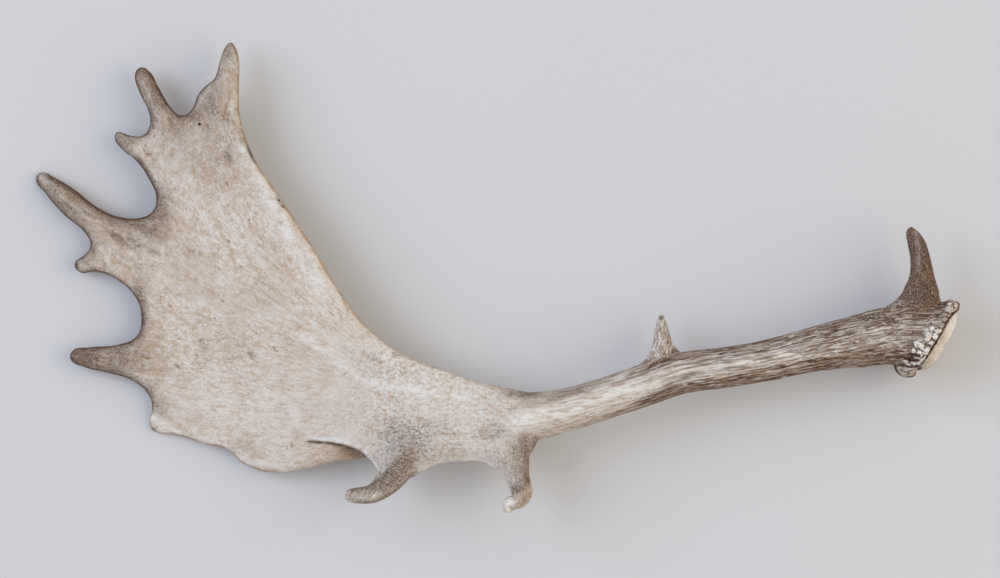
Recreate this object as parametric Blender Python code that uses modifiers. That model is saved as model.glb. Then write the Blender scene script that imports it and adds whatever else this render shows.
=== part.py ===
"""A shed fallow deer antler, lying down with the hollow side of its palm to the floor.

X runs from the long tine to the burr, Y from the hooked tines to the top tine, Z up.
The origin is on the floor under the middle of the antler. Lengths are in millimetres,
and MM turns them into metres where they enter a mesh.
"""

import math
import random

import bmesh
import bpy
import numpy as np
from mathutils import Matrix, Vector
from mathutils.kdtree import KDTree

MM = 0.001

# Fineness of the solids, and how many triangles the antler keeps before it is cut
VOXEL = 1.3
SMOOTHING = 5
TRIANGLES = 8000

# Width of the seam between two branches at a fork
FORK_GAP = 0.3

# Burr: where it stands, and which way its seal faces
BURR_CENTRE = (303.7, -41.2, 31.4)
BURR_HEADING = -29.5

# Burr: radius and level of its turned body, from the middle of the domed seal down its outer side
BURR_PROFILE = [
    (0, 10.5), (10, 10.3), (17, 9.5), (21.5, 7.7), (24, 4.7), (25.2, 1.8), (27.4, 1.4),
    (29.4, 1), (30.4, -1.5), (28.6, -5), (25.5, -9), (20, -14), (0, -22),
]

# Burr: it grows narrower behind its rim at the front end, by a share that comes in between these places
FRONT_NARROWING = 0.12
NARROWING_PLACES = (8, 24)
NARROWING_DEPTH = 3

# Knobs round the burr: ring radius, level, number in the row, knob radius, and how far up the row
# begins, from -1 at the burr's front end to 1 at its rear end
PEARL_ROWS = [(29.4, -0.6, 28, 3.5, -2), (28.0, -5.8, 26, 3.3, -0.15)]

# Knobs: how unevenly they stand round the ring and along the beam, their sizes, and how far those at
# the front end lie in
PEARL_SPREAD = 0.18
PEARL_SHIFT = 1
PEARL_SIZES = (0.75, 1.12)
PEARL_DROP = 3

# Large knobs at the burr's front and rear ends: place and size in its own frame, and turn in degrees
BIG_KNOBS = [((5, -24.4, 2.2), (11, 5.6, 4.4), -25), ((3, 29.2, -4.5), (9, 5.0, 8.0), 6)]

# Palm: edge of the main blade, from the neck along the front edge and round the tines
FRONT_EDGE = [
    (38, -86), (19, -79), (1, -75.5), (-17, -71), (-35, -64.5), (-53, -58.5), (-70, -50),
    (-84, -39), (-96, -27), (-109, -9), (-123, 14), (-140, 40), (-154, 61), (-169, 84),
]
TOP_TINE_EDGE = [
    (-178, 112), (-179, 130), (-179, 150), (-181, 159), (-185, 164), (-189, 160),
    (-193, 149), (-196, 139), (-203, 133), (-208, 127), (-211, 119), (-219, 113),
]
SECOND_TINE_EDGE = [
    (-226, 118), (-236, 134), (-242, 144), (-248, 147), (-252, 143), (-249, 129),
    (-243, 116), (-242, 107), (-246, 100), (-253, 99),
]
THIRD_TINE_EDGE = [
    (-260, 101), (-265, 102), (-267, 98), (-262, 90), (-251, 81), (-242, 68),
]
LONG_TINE_EDGE = [
    (-237, 56), (-239, 47), (-247, 42), (-261, 42), (-275, 47), (-297, 63), (-309, 70),
    (-319, 74), (-323, 69), (-316, 59), (-303, 44), (-287, 30), (-284, 22), (-289, 15),
]
SPUR_EDGE = [(-295, 10), (-292, 4), (-279, 4), (-266, -1), (-252, -14), (-248, -28)]
REAR_TINE_EDGE = [
    (-251, -41), (-263, -47), (-284, -49), (-296, -51), (-298, -57), (-287, -63),
    (-270, -67), (-253, -73), (-243, -83), (-241, -92),
]
CORNER_EDGE = [
    (-243, -103), (-239, -108), (-225, -110), (-202, -117), (-187, -121), (-179, -129),
    (-168, -134), (-154, -136), (-142, -134), (-138, -125), (-134, -116),
]
SLIT_EDGE = [(-122, -115), (-107, -117), (-95, -121), (-87, -127), (-80, -136)]
HOOK_BAY_EDGE = [
    (-66, -141), (-56, -138), (-46, -132), (-35, -129), (-21, -128), (-8, -129), (3, -134),
    (14, -134), (23, -124), (30, -112), (36, -100),
]

# Palm: height of its middle and half its thickness, at places over the blade
BLADE_FORM = [
    (26, -98, 41, 14.5), (0, -98, 41, 13.5), (-25, -96, 41, 11), (-53, -64, 41, 8),
    (-60, -112, 39, 9), (-95, -32, 40, 6.5), (-90, -85, 38, 5), (-88, -122, 36, 5),
    (-110, -114, 32, 4.5), (-133, -109, 25, 4.2), (-123, 10, 39, 6.2), (-150, -40, 33, 4.4),
    (-157, 62, 36, 6.2), (-180, -90, 17, 4.2), (-160, -131, 12, 4.2), (-190, 0, 27, 4.4),
    (-202, -115, 8.5, 4), (-239, -106, 2, 3.6), (-222, -60, 14, 4.4), (-180, 110, 31, 6.2),
    (-185, 160, 23, 5), (-230, 60, 20, 4.6), (-215, 105, 25, 5.2), (-247, 144, 15, 4.5),
    (-264, 98, 12, 4), (-250, -18, 12, 4.2), (-282, 38, 10.5, 5.5), (-304, 58, 8.6, 5),
    (-317, 68, 2.9, 4), (-292, 9, 8, 4), (-268, -57, 10.5, 6), (-295, -55, 9.5, 4),
]

# How far the form may ease off the places above, to stay fair
BLADE_EASE = 100

# Flat slab that a blade is bent from: half its thickness, and how many half thicknesses the rounding
# of its rim runs in
HALF_SLAB = 5
RIM_ROUNDING = 1.15

# Lobe behind the slit: its edge, and how far it drops below the main blade, with its half thickness
LOBE_EDGE = [
    (-166, -108), (-176, -122), (-168, -134), (-154, -136), (-138, -134.5), (-125, -131.5),
    (-109, -128), (-92, -126), (-76, -120), (-72, -108), (-90, -98), (-118, -96),
    (-146, -98),
]
LOBE_DROP = [
    (-172, -124, 0, 4.2), (-160, -133, 0, 4.2), (-150, -100, 0, 4.2), (-146, -134, 0, 4.2),
    (-138, -116, 0, 4.2), (-131, -118, 0.8, 4.2), (-136, -132, 0.5, 4.2), (-120, -117, 4.5, 4.4),
    (-122, -129, 3, 4.4), (-107, -118, 9.5, 4.6), (-108, -127, 8.5, 4.4), (-92, -122, 13, 4.4),
    (-80, -114, 13, 4.2), (-90, -100, 12, 4.2), (-118, -98, 4, 4.2),
]

# Stems that stand alone: place and radius along each
BEAM = [
    (-62, -92, 40, 4), (-40, -93, 40.5, 7), (-18, -96, 41, 10.5), (2, -98.5, 41, 14.4),
    (22, -97, 41, 17), (46, -92.8, 40.5, 15.4), (73, -85, 40, 14.6), (100, -76, 39.5, 14.8),
    (129, -66.4, 39, 14.6), (157, -62.8, 38, 14.3), (188, -57.7, 37, 14.8), (222, -49.7, 36, 15.9),
    (248, -44.8, 35.5, 17.8), (270, -41, 35, 20), (288, -40, 34, 22.5), (299, -40, 34, 23),
]
BROW_TINE = [
    (287.5, -42, 36, 13), (294.5, -25, 37, 14), (296.8, -11, 39, 11.6), (296.4, -3.4, 39.8, 9.5),
    (295.5, 6, 41, 8), (294.2, 15, 42, 7), (291.9, 23.5, 42.8, 6.3), (288.4, 31, 43.5, 4.3),
    (286.8, 34.4, 44, 2.3),
]
BROW_ROOT = [
    (250, -42, 36, 13), (268, -36.5, 36.5, 14), (281, -30.5, 37, 14), (289, -20, 38.5, 11.5),
    (293, -8, 40, 9), (295, 6, 41, 6.5),
]
TREZ_TINE = [
    (112, -68, 38, 14), (115, -57, 36, 10.5), (115.8, -47, 33, 7.2), (115.6, -39, 30, 5.6),
    (115.6, -32.5, 27, 4), (115.6, -26.4, 25, 2.2),
]
TREZ_ROOT = [(130, -64, 37, 10), (123.5, -58, 36, 8.2), (119, -51, 34, 6.6), (117, -43, 31.5, 5)]
CURLED_TINE = [
    (6, -98, 40, 8), (10, -114, 40, 11.5), (12.5, -128, 41, 11), (14.5, -137, 43, 9.1),
    (16.8, -144, 45.5, 7.9), (18, -150, 48, 7.4), (15, -155.5, 50, 5.3), (9, -156.5, 50.5, 4.3),
    (8.5, -163, 50, 3.1),
]
HOOKED_TINE = [
    (-52, -90, 38, 5), (-58, -105, 38, 8), (-64, -119, 38.7, 10.8), (-68, -129, 40.2, 12),
    (-73, -138.5, 43, 10.8), (-79.5, -146, 47, 8.2), (-86, -150, 50, 6.7), (-94, -151, 52, 5.8),
    (-100.5, -151, 53, 4.9), (-104, -150.5, 53, 3.2),
]
TREE = {
    "beam": BEAM, "brow": BROW_TINE, "brow_root": BROW_ROOT, "trez": TREZ_TINE,
    "trez_root": TREZ_ROOT,
    "curled": CURLED_TINE, "hooked": HOOKED_TINE,
}

# Stems that grow in the blade's own surface: place and radius along each
TOP_TINE = [
    (-185.3, 162, 1.6), (-185.8, 158, 3.8), (-186, 151, 5.8), (-187.3, 141, 7.4),
    (-190, 128, 8.2), (-193, 114, 7.6), (-195, 96, 6), (-194, 72, 3.6),
]
SECOND_TINE = [
    (-247.6, 146, 1.8), (-246.6, 142, 3.9), (-243, 134, 5.4), (-238.5, 125, 6.6),
    (-233.5, 115, 7), (-228, 101, 5.6), (-220, 80, 3.4),
]
THIRD_TINE = [(-265.3, 100, 2.2), (-260, 95.5, 4.3), (-252, 90, 5.6), (-243, 83, 5), (-226, 72, 3.2)]
LONG_TINE = [
    (-321, 71.5, 2.4), (-316, 67.5, 4.6), (-305, 58.5, 7.2), (-287, 43.5, 8.2), (-272, 30, 7.8),
    (-256, 17, 6), (-236, 2, 4.2), (-214, -14, 2.8),
]
SPUR = [(-292.5, 8, 2.6), (-284, 10, 4.6), (-271, 13, 5), (-248, 14, 3)]
REAR_TINE = [
    (-296.5, -54.5, 2.2), (-287, -56, 5.8), (-274, -57, 7.8), (-259, -58.5, 8.4),
    (-243, -60, 6.4), (-222, -60, 4.4), (-196, -58, 2.8),
]
CORNER = [(-240, -106, 2.4), (-234, -101, 4), (-214, -88, 2.4)]
SURFACE_STEMS = {
    "top": TOP_TINE, "second": SECOND_TINE, "third": THIRD_TINE, "long": LONG_TINE,
    "spur": SPUR, "rear": REAR_TINE, "corner": CORNER,
}

# Ridges that run up the beam from the burr: angle round the beam, length and radius
RIDGES = [
    (84, 70, 3.2), (52, 48, 3), (118, 58, 3.2), (150, 42, 2.8), (196, 60, 3), (240, 46, 3), (292, 52, 3),
]

# Ridges: where they start, how deep they sit in the beam, their turn at each step, and their thinning
RIDGE_START = 288
RIDGE_SINK = 0.1
RIDGE_STEPS = 5
RIDGE_TURN = 0.12
RIDGE_THINNING = 0.75

# Forks: middle of the cut, heading of the branch from it, reach to each side, and length
FORKS = {
    "top_tine": ((-197.5, 108.5), 76, (22.5, 24), 70),
    "second_tine": ((-231.5, 108.5), 112, (14, 13.5), 60),
    "long_tine": ((-271, 32), 126.5, (18, 28), 80),
    "rear_tine": ((-256, -59), 176, (16, 16), 60),
    "hooked_tine": ((-69.5, -133.5), 270, (38, 24), 45),
    "curled_tine": ((10.5, -126.5), 291, (24, 14), 50),
    "brow_tine": ((298, -7), 90, (15, 18), 60),
    "trez_tine": ((116.5, -49), 90, (11, 11), 40),
}
BEAM_FORK = ((22, -98.5), 9, (30, 200), 330)

# Boxes that cut: how far down and up those at the forks go, and what lies below the floor
FORK_BOTTOM = -30
FORK_TOP = 110
BELOW_FLOOR = ((-400, -300, -60), (400, 300, 0))

# Colours
BONE = (0.56, 0.45, 0.33)
BEAM_BONE = (0.36, 0.27, 0.18)
TIP_BONE = (0.30, 0.24, 0.18)


# Scene

def clear_scene():
    for old in list(bpy.data.objects):
        bpy.data.objects.remove(old, do_unlink=True)


def new_collection(name):
    collection = bpy.data.collections.new(name)
    bpy.context.scene.collection.children.link(collection)
    return collection


def bone_material(name, colour, roughness=0.62):
    material = bpy.data.materials.new(name)
    material.use_nodes = True
    shader = material.node_tree.nodes["Principled BSDF"]
    shader.inputs["Base Color"].default_value = (*colour, 1)
    shader.inputs["Roughness"].default_value = roughness
    shader.inputs["Metallic"].default_value = 0
    return material


def as_mesh(thing, collection):
    """Makes a mesh object of what a curve or a modified object evaluates to."""
    graph = bpy.context.evaluated_depsgraph_get()
    mesh = bpy.data.meshes.new_from_object(thing.evaluated_get(graph))
    weld = bmesh.new()
    weld.from_mesh(mesh)
    bmesh.ops.remove_doubles(weld, verts=weld.verts, dist=0.001 * MM)
    weld.to_mesh(mesh)
    weld.free()
    solid = bpy.data.objects.new(thing.name, mesh)
    solid.matrix_world = thing.matrix_world
    collection.objects.link(solid)
    bpy.data.objects.remove(thing, do_unlink=True)
    return solid


# Blades and stems

def smooth_form(places):
    """Returns a function of x and y that passes smoothly through values given at a few places."""
    rows = np.array(places, dtype=float)
    spots, values = rows[:, :2], rows[:, 2:]

    def bend(points):
        square = ((points[:, None, :] - spots[None, :, :]) ** 2).sum(axis=2)
        return 0.5 * square * np.log(square + 1e-9)

    def plane(points):
        return np.column_stack([np.ones(len(points)), points])

    size = len(spots)
    system = np.zeros((size + 3, size + 3))
    system[:size, :size] = bend(spots) + BLADE_EASE * np.eye(size)
    system[:size, size:] = plane(spots)
    system[size:, :size] = plane(spots).T
    weights = np.linalg.solve(system, np.vstack([values, np.zeros((3, values.shape[1]))]))

    def form(points):
        points = np.atleast_2d(np.asarray(points, dtype=float))
        return bend(points) @ weights[:size] + plane(points) @ weights[size:]

    return form


def lobe_form(form):
    """The lobe's own form: the main blade's, let down behind the slit."""
    heights = form([row[:2] for row in LOBE_DROP])[:, 0]
    places = [(x, y, height - drop, half) for (x, y, drop, half), height in zip(LOBE_DROP, heights)]
    return smooth_form(places)


def remesh(solid, voxel, collection):
    modifier = solid.modifiers.new("Voxels", "REMESH")
    modifier.mode = "VOXEL"
    modifier.voxel_size = voxel * MM
    return as_mesh(solid, collection)


def blade(name, edge, form, collection):
    """Bends a flat outline to its form, and rounds its edge to its thickness there."""
    curve = bpy.data.curves.new(name, "CURVE")
    curve.dimensions = "2D"
    curve.fill_mode = "BOTH"
    curve.extrude = HALF_SLAB * MM
    curve.resolution_u = 12
    spline = curve.splines.new("BEZIER")
    spline.bezier_points.add(len(edge) - 1)
    for point, (x, y) in zip(spline.bezier_points, edge):
        point.co = (x * MM, y * MM, 0)
        point.handle_left_type = "AUTO"
        point.handle_right_type = "AUTO"
    spline.use_cyclic_u = True
    outline = bpy.data.objects.new(name, curve)
    collection.objects.link(outline)
    slab = as_mesh(outline, collection)

    rim = KDTree(len(slab.data.vertices))
    for vertex in slab.data.vertices:
        rim.insert((vertex.co.x, vertex.co.y, 0), vertex.index)
    rim.balance()

    sheet = remesh(slab, VOXEL, collection)
    count = len(sheet.data.vertices)
    points = np.empty(count * 3)
    sheet.data.vertices.foreach_get("co", points)
    points = points.reshape(-1, 3) / MM
    inset = np.array([rim.find((x * MM, y * MM, 0))[2] for x, y, _ in points]) / MM
    middle, half = form(points[:, :2]).T
    reach = np.clip(inset / (RIM_ROUNDING * half), 0, 1)
    rounding = np.sqrt(1 - (1 - reach) ** 2)
    points[:, 2] = middle + points[:, 2] / HALF_SLAB * half * rounding
    sheet.data.vertices.foreach_set("co", (points * MM).ravel())
    sheet.data.update()
    return sheet


def stem(name, route, collection):
    """A round stem along points of x, y, z and radius."""
    curve = bpy.data.curves.new(name, "CURVE")
    curve.dimensions = "3D"
    curve.bevel_depth = MM
    curve.bevel_resolution = 5
    curve.resolution_u = 6
    curve.use_fill_caps = True
    spline = curve.splines.new("BEZIER")
    spline.radius_interpolation = "CARDINAL"
    spline.bezier_points.add(len(route) - 1)
    for point, (x, y, z, radius) in zip(spline.bezier_points, route):
        point.co = (x * MM, y * MM, z * MM)
        point.radius = radius
        point.handle_left_type = "AUTO"
        point.handle_right_type = "AUTO"
    tube = bpy.data.objects.new(name, curve)
    collection.objects.link(tube)
    return as_mesh(tube, collection)


def surface_stem(name, route, form, collection):
    """A stem whose middle follows the blade's own middle surface."""
    heights = form([point[:2] for point in route])[:, 0]
    lifted = [(x, y, height, radius) for (x, y, radius), height in zip(route, heights)]
    return stem(name, lifted, collection)


# Burr

def burr_frame():
    """The burr's own frame: its Z is the way the seal faces, and its X is up."""
    heading = math.radians(BURR_HEADING)
    facing = Vector((math.cos(heading), math.sin(heading), 0))
    turn = facing.to_track_quat("Z", "X").to_matrix().to_4x4()
    return Matrix.Translation(Vector(BURR_CENTRE) * MM) @ turn


def burr_disc(collection):
    """The turned body of the burr: a flare on the beam's side and the domed seal on the other."""
    mesh = bpy.data.meshes.new("burr")
    mesh.from_pydata([(x * MM, 0, z * MM) for x, z in BURR_PROFILE],
                     [(i, i + 1) for i in range(len(BURR_PROFILE) - 1)], [])
    disc = bpy.data.objects.new("burr", mesh)
    disc.matrix_world = burr_frame()
    collection.objects.link(disc)
    screw = disc.modifiers.new("Turn", "SCREW")
    screw.steps = 48
    screw.render_steps = 48
    screw.use_merge_vertices = True
    screw.merge_threshold = 0.00001
    turned = as_mesh(disc, collection)
    near, far = NARROWING_PLACES
    for vertex in turned.data.vertices:
        forward = min(max((-vertex.co.y / MM - near) / (far - near), 0), 1)
        behind = min(max(-vertex.co.z / MM / NARROWING_DEPTH, 0), 1)
        vertex.co.y *= 1 - FRONT_NARROWING * forward * behind
    return turned


def burr_pearls(collection):
    """The rows of knobs round the burr, and the large ones at its ends."""
    chance = random.Random(7)
    frame = burr_frame()
    beads = bmesh.new()
    for ring, level, count, size, begin in PEARL_ROWS:
        for step in range(count):
            angle = 2 * math.pi * (step + chance.uniform(-PEARL_SPREAD, PEARL_SPREAD)) / count
            radius = size * chance.uniform(*PEARL_SIZES)
            if math.sin(angle) < begin:
                continue
            inward = PEARL_DROP * max(0, -math.sin(angle)) ** 4
            spot = Vector((math.cos(angle), math.sin(angle), 0)) * (ring - inward)
            spot.z = level + chance.uniform(-PEARL_SHIFT, PEARL_SHIFT)
            place = frame @ Matrix.Translation(spot * MM) @ Matrix.Scale(radius, 4)
            bmesh.ops.create_icosphere(beads, subdivisions=2, radius=MM, matrix=place)
    for spot, size, degrees in BIG_KNOBS:
        lean = Matrix.Rotation(math.radians(degrees), 4, "X")
        place = frame @ Matrix.Translation(Vector(spot) * MM) @ lean @ Matrix.Diagonal((*size, 1))
        bmesh.ops.create_icosphere(beads, subdivisions=2, radius=MM, matrix=place)
    mesh = bpy.data.meshes.new("pearls")
    beads.to_mesh(mesh)
    beads.free()
    pearls = bpy.data.objects.new("pearls", mesh)
    collection.objects.link(pearls)
    return pearls


def ridge(name, angle, length, radius, collection):
    """A raised line from the burr up the beam, half sunk in its surface."""
    turn = math.radians(angle)
    beam = np.array(BEAM, dtype=float)
    route = []
    for step in range(RIDGE_STEPS + 1):
        x = RIDGE_START - length * step / RIDGE_STEPS
        y, z, girth = (np.interp(x, beam[:, 0], beam[:, column]) for column in (1, 2, 3))
        side = math.cos(turn + RIDGE_TURN * step)
        up = math.sin(turn + RIDGE_TURN * step)
        taper = 1 - RIDGE_THINNING * step / RIDGE_STEPS
        out = girth - RIDGE_SINK * radius * taper
        route.append((x, y + out * side, z + out * up, radius * taper))
    return stem(name, route, collection)


# Whole antler, and its branches

def fuse(pieces, collection):
    """Grows overlapping pieces together into one smooth skin of few triangles."""
    whole = bmesh.new()
    for piece in pieces:
        piece.data.transform(piece.matrix_world)
        whole.from_mesh(piece.data)
        bpy.data.objects.remove(piece, do_unlink=True)
    mesh = bpy.data.meshes.new("antler")
    whole.to_mesh(mesh)
    whole.free()
    antler = bpy.data.objects.new("antler", mesh)
    collection.objects.link(antler)
    antler = remesh(antler, VOXEL, collection)
    smooth = antler.modifiers.new("Smooth", "SMOOTH")
    smooth.iterations = SMOOTHING
    triangulate = antler.modifiers.new("Triangles", "TRIANGULATE")
    triangulate.quad_method = "BEAUTY"
    antler = as_mesh(antler, collection)
    decimate = antler.modifiers.new("Fewer", "DECIMATE")
    decimate.ratio = TRIANGLES / len(antler.data.polygons)
    return as_mesh(antler, collection)


def block(name, low, high, collection, place=(0, 0), heading=0):
    """A box cutter, from low to high in a frame at a place on the floor, turned about Z."""
    bpy.ops.mesh.primitive_cube_add(size=1)
    box = bpy.context.object
    box.name = name
    for old in list(box.users_collection):
        old.objects.unlink(box)
    collection.objects.link(box)
    low, high = Vector(low), Vector(high)
    size = Matrix.Diagonal((*(high - low) * MM, 1))
    box.data.transform(Matrix.Translation((low + high) / 2 * MM) @ size)
    turn = Matrix.Rotation(math.radians(heading), 4, "Z")
    box.matrix_world = Matrix.Translation((place[0] * MM, place[1] * MM, 0)) @ turn
    box.hide_render = True
    box.display_type = "WIRE"
    return box


def fork_blocks(name, fork, collection):
    """Two cutters for a fork: what the branch keeps, and the same with the gap that the rest leaves."""
    place, heading, (right, left), length = fork
    low, high = (-right, FORK_BOTTOM), (length, left, FORK_TOP)
    keep = block(f"{name}_keep", (0, *low), high, collection, place, heading)
    clear = block(f"{name}_clear", (-FORK_GAP, *low), high, collection, place, heading)
    return keep, clear


def cut(solid, cutter, operation):
    modifier = solid.modifiers.new(cutter.name, "BOOLEAN")
    modifier.object = cutter
    modifier.operation = operation
    modifier.solver = "EXACT"


def branch(name, antler, colour, collection):
    """A copy of the whole antler, which its cutters then trim to one branch."""
    piece = bpy.data.objects.new(name, antler.data.copy())
    piece.data.materials.clear()
    piece.data.materials.append(bone_material(f"{name}_bone", colour))
    collection.objects.link(piece)
    return piece


def build():
    clear_scene()
    parts = new_collection("fallow_deer_antler")
    rough = new_collection("rough_shapes")
    cutters = new_collection("cutters")

    form = smooth_form(BLADE_FORM)
    edge = (FRONT_EDGE + TOP_TINE_EDGE + SECOND_TINE_EDGE + THIRD_TINE_EDGE + LONG_TINE_EDGE
            + SPUR_EDGE + REAR_TINE_EDGE + CORNER_EDGE + SLIT_EDGE + HOOK_BAY_EDGE)
    pieces = [blade("palm_blade", edge, form, rough),
              blade("lobe_blade", LOBE_EDGE, lobe_form(form), rough)]
    for name, route in SURFACE_STEMS.items():
        pieces.append(surface_stem(f"{name}_stem", route, form, rough))
    for name, route in TREE.items():
        pieces.append(stem(f"{name}_stem", route, rough))
    pieces.append(burr_disc(rough))
    pieces.append(burr_pearls(rough))
    for number, (angle, length, radius) in enumerate(RIDGES):
        pieces.append(ridge(f"ridge_{number}", angle, length, radius, rough))

    antler = fuse(pieces, rough)
    floor = block("floor", *BELOW_FLOOR, cutters)
    cut(antler, floor, "DIFFERENCE")
    antler = as_mesh(antler, rough)

    palm = branch("palm", antler, BONE, parts)
    beam = branch("beam", antler, BEAM_BONE, parts)
    beam_keep, beam_clear = fork_blocks("beam", BEAM_FORK, cutters)
    cut(beam, beam_keep, "INTERSECT")
    cut(palm, beam_clear, "DIFFERENCE")
    for name, fork in FORKS.items():
        keep, clear = fork_blocks(name, fork, cutters)
        cut(branch(name, antler, TIP_BONE, parts), keep, "INTERSECT")
        parent = beam if name in ("brow_tine", "trez_tine") else palm
        cut(parent, clear, "DIFFERENCE")
    bpy.data.objects.remove(antler, do_unlink=True)


build()
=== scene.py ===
"""A shed fallow deer antler lying on a pale floor, seen from straight above.

The antler is one skin, grown from the same stems, blades and burr as the solids under it,
with the furrows, pearls, pores and stains of the real bone. Lengths in the lists are in
millimetres, and MM turns them into metres where they enter a mesh.
"""

import math
import random

import bmesh
import bpy
import numpy as np
from mathutils import Matrix, Vector
from mathutils.kdtree import KDTree


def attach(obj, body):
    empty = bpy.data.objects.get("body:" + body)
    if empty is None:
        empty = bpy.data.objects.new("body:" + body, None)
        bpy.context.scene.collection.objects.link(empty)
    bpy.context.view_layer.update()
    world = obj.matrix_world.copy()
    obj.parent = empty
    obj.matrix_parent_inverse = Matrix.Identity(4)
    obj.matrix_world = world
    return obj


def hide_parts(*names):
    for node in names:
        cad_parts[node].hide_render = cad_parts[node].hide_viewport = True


MM = 0.001

# Fineness of the skin, how much more its palm is thinned out, and steps of the curves that it
# grows from
VOXEL = 0.8
SMOOTHING = 13
SKIN_TRIANGLES = 190000
PALM_THINNING = 3
EDGE_STEPS = 12
STEM_STEPS = 8

# Burr: where it stands, which way its seal faces, and its size
BURR_CENTRE = (303.7, -41.2, 31.4)
BURR_HEADING = -29.5
BURR_STEPS = 96
BURR_VOXEL = 0.45
BURR_SMOOTHING = 3

# Burr: how much narrower it is at its front end, where that begins and how far it reaches, and
# the level below which it is fully so
FRONT_NARROWING = 0.12
NARROWING_START = 8
NARROWING_REACH = 16
NARROWING_LEVEL = 3

# How far the antler's own skin is set in under the burr piece, on the seal's side and on the
# beam's side, and how far the burr piece is sunk in on the beam's side
UNDER_SEAL = 1.6
UNDER_FLARE = 0.4
BURR_SUNK = 2.6

# Seal: the level above which it shows, its radius, counted inwards, and how far forward it
# reaches, each from where it fades out to where it is full
SEAL_LEVEL = (1.8, 2.6)
SEAL_RADIUS = (-26.6, -25.8)
SEAL_FRONT = (-22.5, -21)

# Roughness of the burr and of the seal in millimetres, fine and broad
BURR_ROUGHNESS = (0.1, 0.3)
SEAL_ROUGHNESS = (0.45, 0.5)

# Burr: radius and level of its turned body, from the middle of the domed seal down its outer side
BURR_PROFILE = [
    (0, 10.5), (10, 10.3), (17, 9.5), (21.5, 7.7), (24, 4.7), (25.2, 1.8), (27.4, 1.4),
    (29.4, 1), (30.4, -1.5), (28.6, -5), (25.5, -9), (20, -14), (0, -22),
]

# Knobs round the burr: ring radius, level, number in the row, size out, round and along, and how
# far up the row begins, from -1 at the burr's front end to 1 at its rear end
PEARL_ROWS = [
    (29.4, -0.2, 40, 3.0, 2.8, 2.9, -2), (29.0, -3.9, 38, 3.0, 2.8, 3.0, -0.15),
    (27.2, -7.4, 34, 3.0, 2.7, 3.1, 0.2),
]

# How far the rows are drawn in at the front end and swept back at the rear end
PEARL_DROP = 3
PEARL_SWEEP = 4

# How the knobs differ: share left out, stray round the ring as a share of a step, stray outwards
# and in level, skew in radians, and ranges of size, width and length
PEARLS_MISSING = 0.06
PEARL_STRAY = 0.3
PEARL_OUT = 0.6
PEARL_LEVEL = 1
PEARL_SKEW = 0.5
PEARL_SIZES = (0.7, 1.2)
PEARL_WIDTHS = (0.8, 1.2)
PEARL_LENGTHS = (0.8, 1.45)
PEARL_SEED = 11

# Large knobs at the burr's front and rear ends: place and size in its own frame, and turn in degrees
BIG_KNOBS = [
    ((5, -24.4, 2.2), (11, 5.6, 4.4), -25), ((9, -22.8, 3.6), (9, 3.4, 2.8), -25),
    ((3, 29.4, -5.2), (9, 5.2, 8.4), 6), ((8, 27.6, -4.4), (7, 3.6, 6.0), 6),
]

# Dark lines on the burr, over its own Y and Z: half width, strength, loss on the way, and the places
BURR_LINES = [
    (1.0, 1.1, 0, [(-26, -4.5), (-29, -3), (-29.8, 1), (-28.6, 4.4), (-25.5, 5.6), (-20, 3.4)]),
    (1.15, 1.3, 0, [
        (-20, 3.4), (-13, 1.9), (-7, 2.4), (-1.5, 1.9), (4, 2.5), (9, 1.8), (15, 2.2), (22, 1.4)]),
    (1.8, 1.3, 0, [(31.5, -13.5), (35, -9), (35.6, -4), (33.5, 0.6), (29, 3.4), (24, 2.4)]),
    (1.5, 1.4, 0, [(22.6, -10.5), (21.6, -6), (20.2, -2.5)]),
    (1.3, 1.4, 0, [(19.6, -11.4), (18.4, -7.4), (16.7, -3.5)]),
    (1.1, 1.1, 0, [(27.3, -12), (27.8, -8), (26.4, -4), (23.4, 0.4)]),
    (0.8, 0.8, 0, [(31.5, -9), (30.6, -5), (27.6, -1.6)]),
]

# Palm: edge of the main blade, from the neck along the front edge and round the tines
FRONT_EDGE = [
    (38, -86), (19, -79), (1, -75.5), (-17, -71), (-35, -64.5), (-53, -58.5), (-70, -50),
    (-84, -39), (-96, -27), (-109, -9), (-123, 14), (-140, 40), (-154, 61), (-169, 84),
]
TOP_TINE_EDGE = [
    (-178, 112), (-179, 130), (-179, 150), (-181, 159), (-185, 164), (-189, 160),
    (-193, 149), (-196, 139), (-203, 133), (-208, 127), (-211, 119), (-219, 113),
]
SECOND_TINE_EDGE = [
    (-226, 118), (-236, 134), (-242, 144), (-248, 147), (-252, 143), (-249, 129),
    (-243, 116), (-242, 107), (-246, 100), (-253, 99),
]
THIRD_TINE_EDGE = [
    (-260, 101), (-265, 102), (-267, 98), (-262, 90), (-251, 81), (-242, 68),
]
LONG_TINE_EDGE = [
    (-237, 56), (-239, 47), (-247, 42), (-261, 42), (-275, 47), (-297, 63), (-309, 70),
    (-319, 74), (-323, 69), (-316, 59), (-303, 44), (-287, 30), (-284, 22), (-289, 15),
]
SPUR_EDGE = [(-295, 10), (-292, 4), (-279, 4), (-266, -1), (-252, -14), (-248, -28)]
REAR_TINE_EDGE = [
    (-251, -41), (-263, -47), (-284, -49), (-296, -51), (-298, -57), (-287, -63),
    (-270, -67), (-253, -73), (-243, -83), (-241, -92),
]
CORNER_EDGE = [
    (-243, -103), (-239, -108), (-225, -110), (-202, -117), (-187, -121), (-179, -129),
    (-168, -134), (-154, -136), (-142, -134), (-138, -125), (-134, -116),
]
SLIT_EDGE = [(-122, -115), (-107, -117), (-95, -121), (-87, -127), (-80, -136)]
HOOK_BAY_EDGE = [
    (-66, -141), (-56, -138), (-46, -132), (-35, -129), (-21, -128), (-8, -129), (3, -134),
    (14, -134), (23, -124), (30, -112), (36, -100),
]

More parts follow.
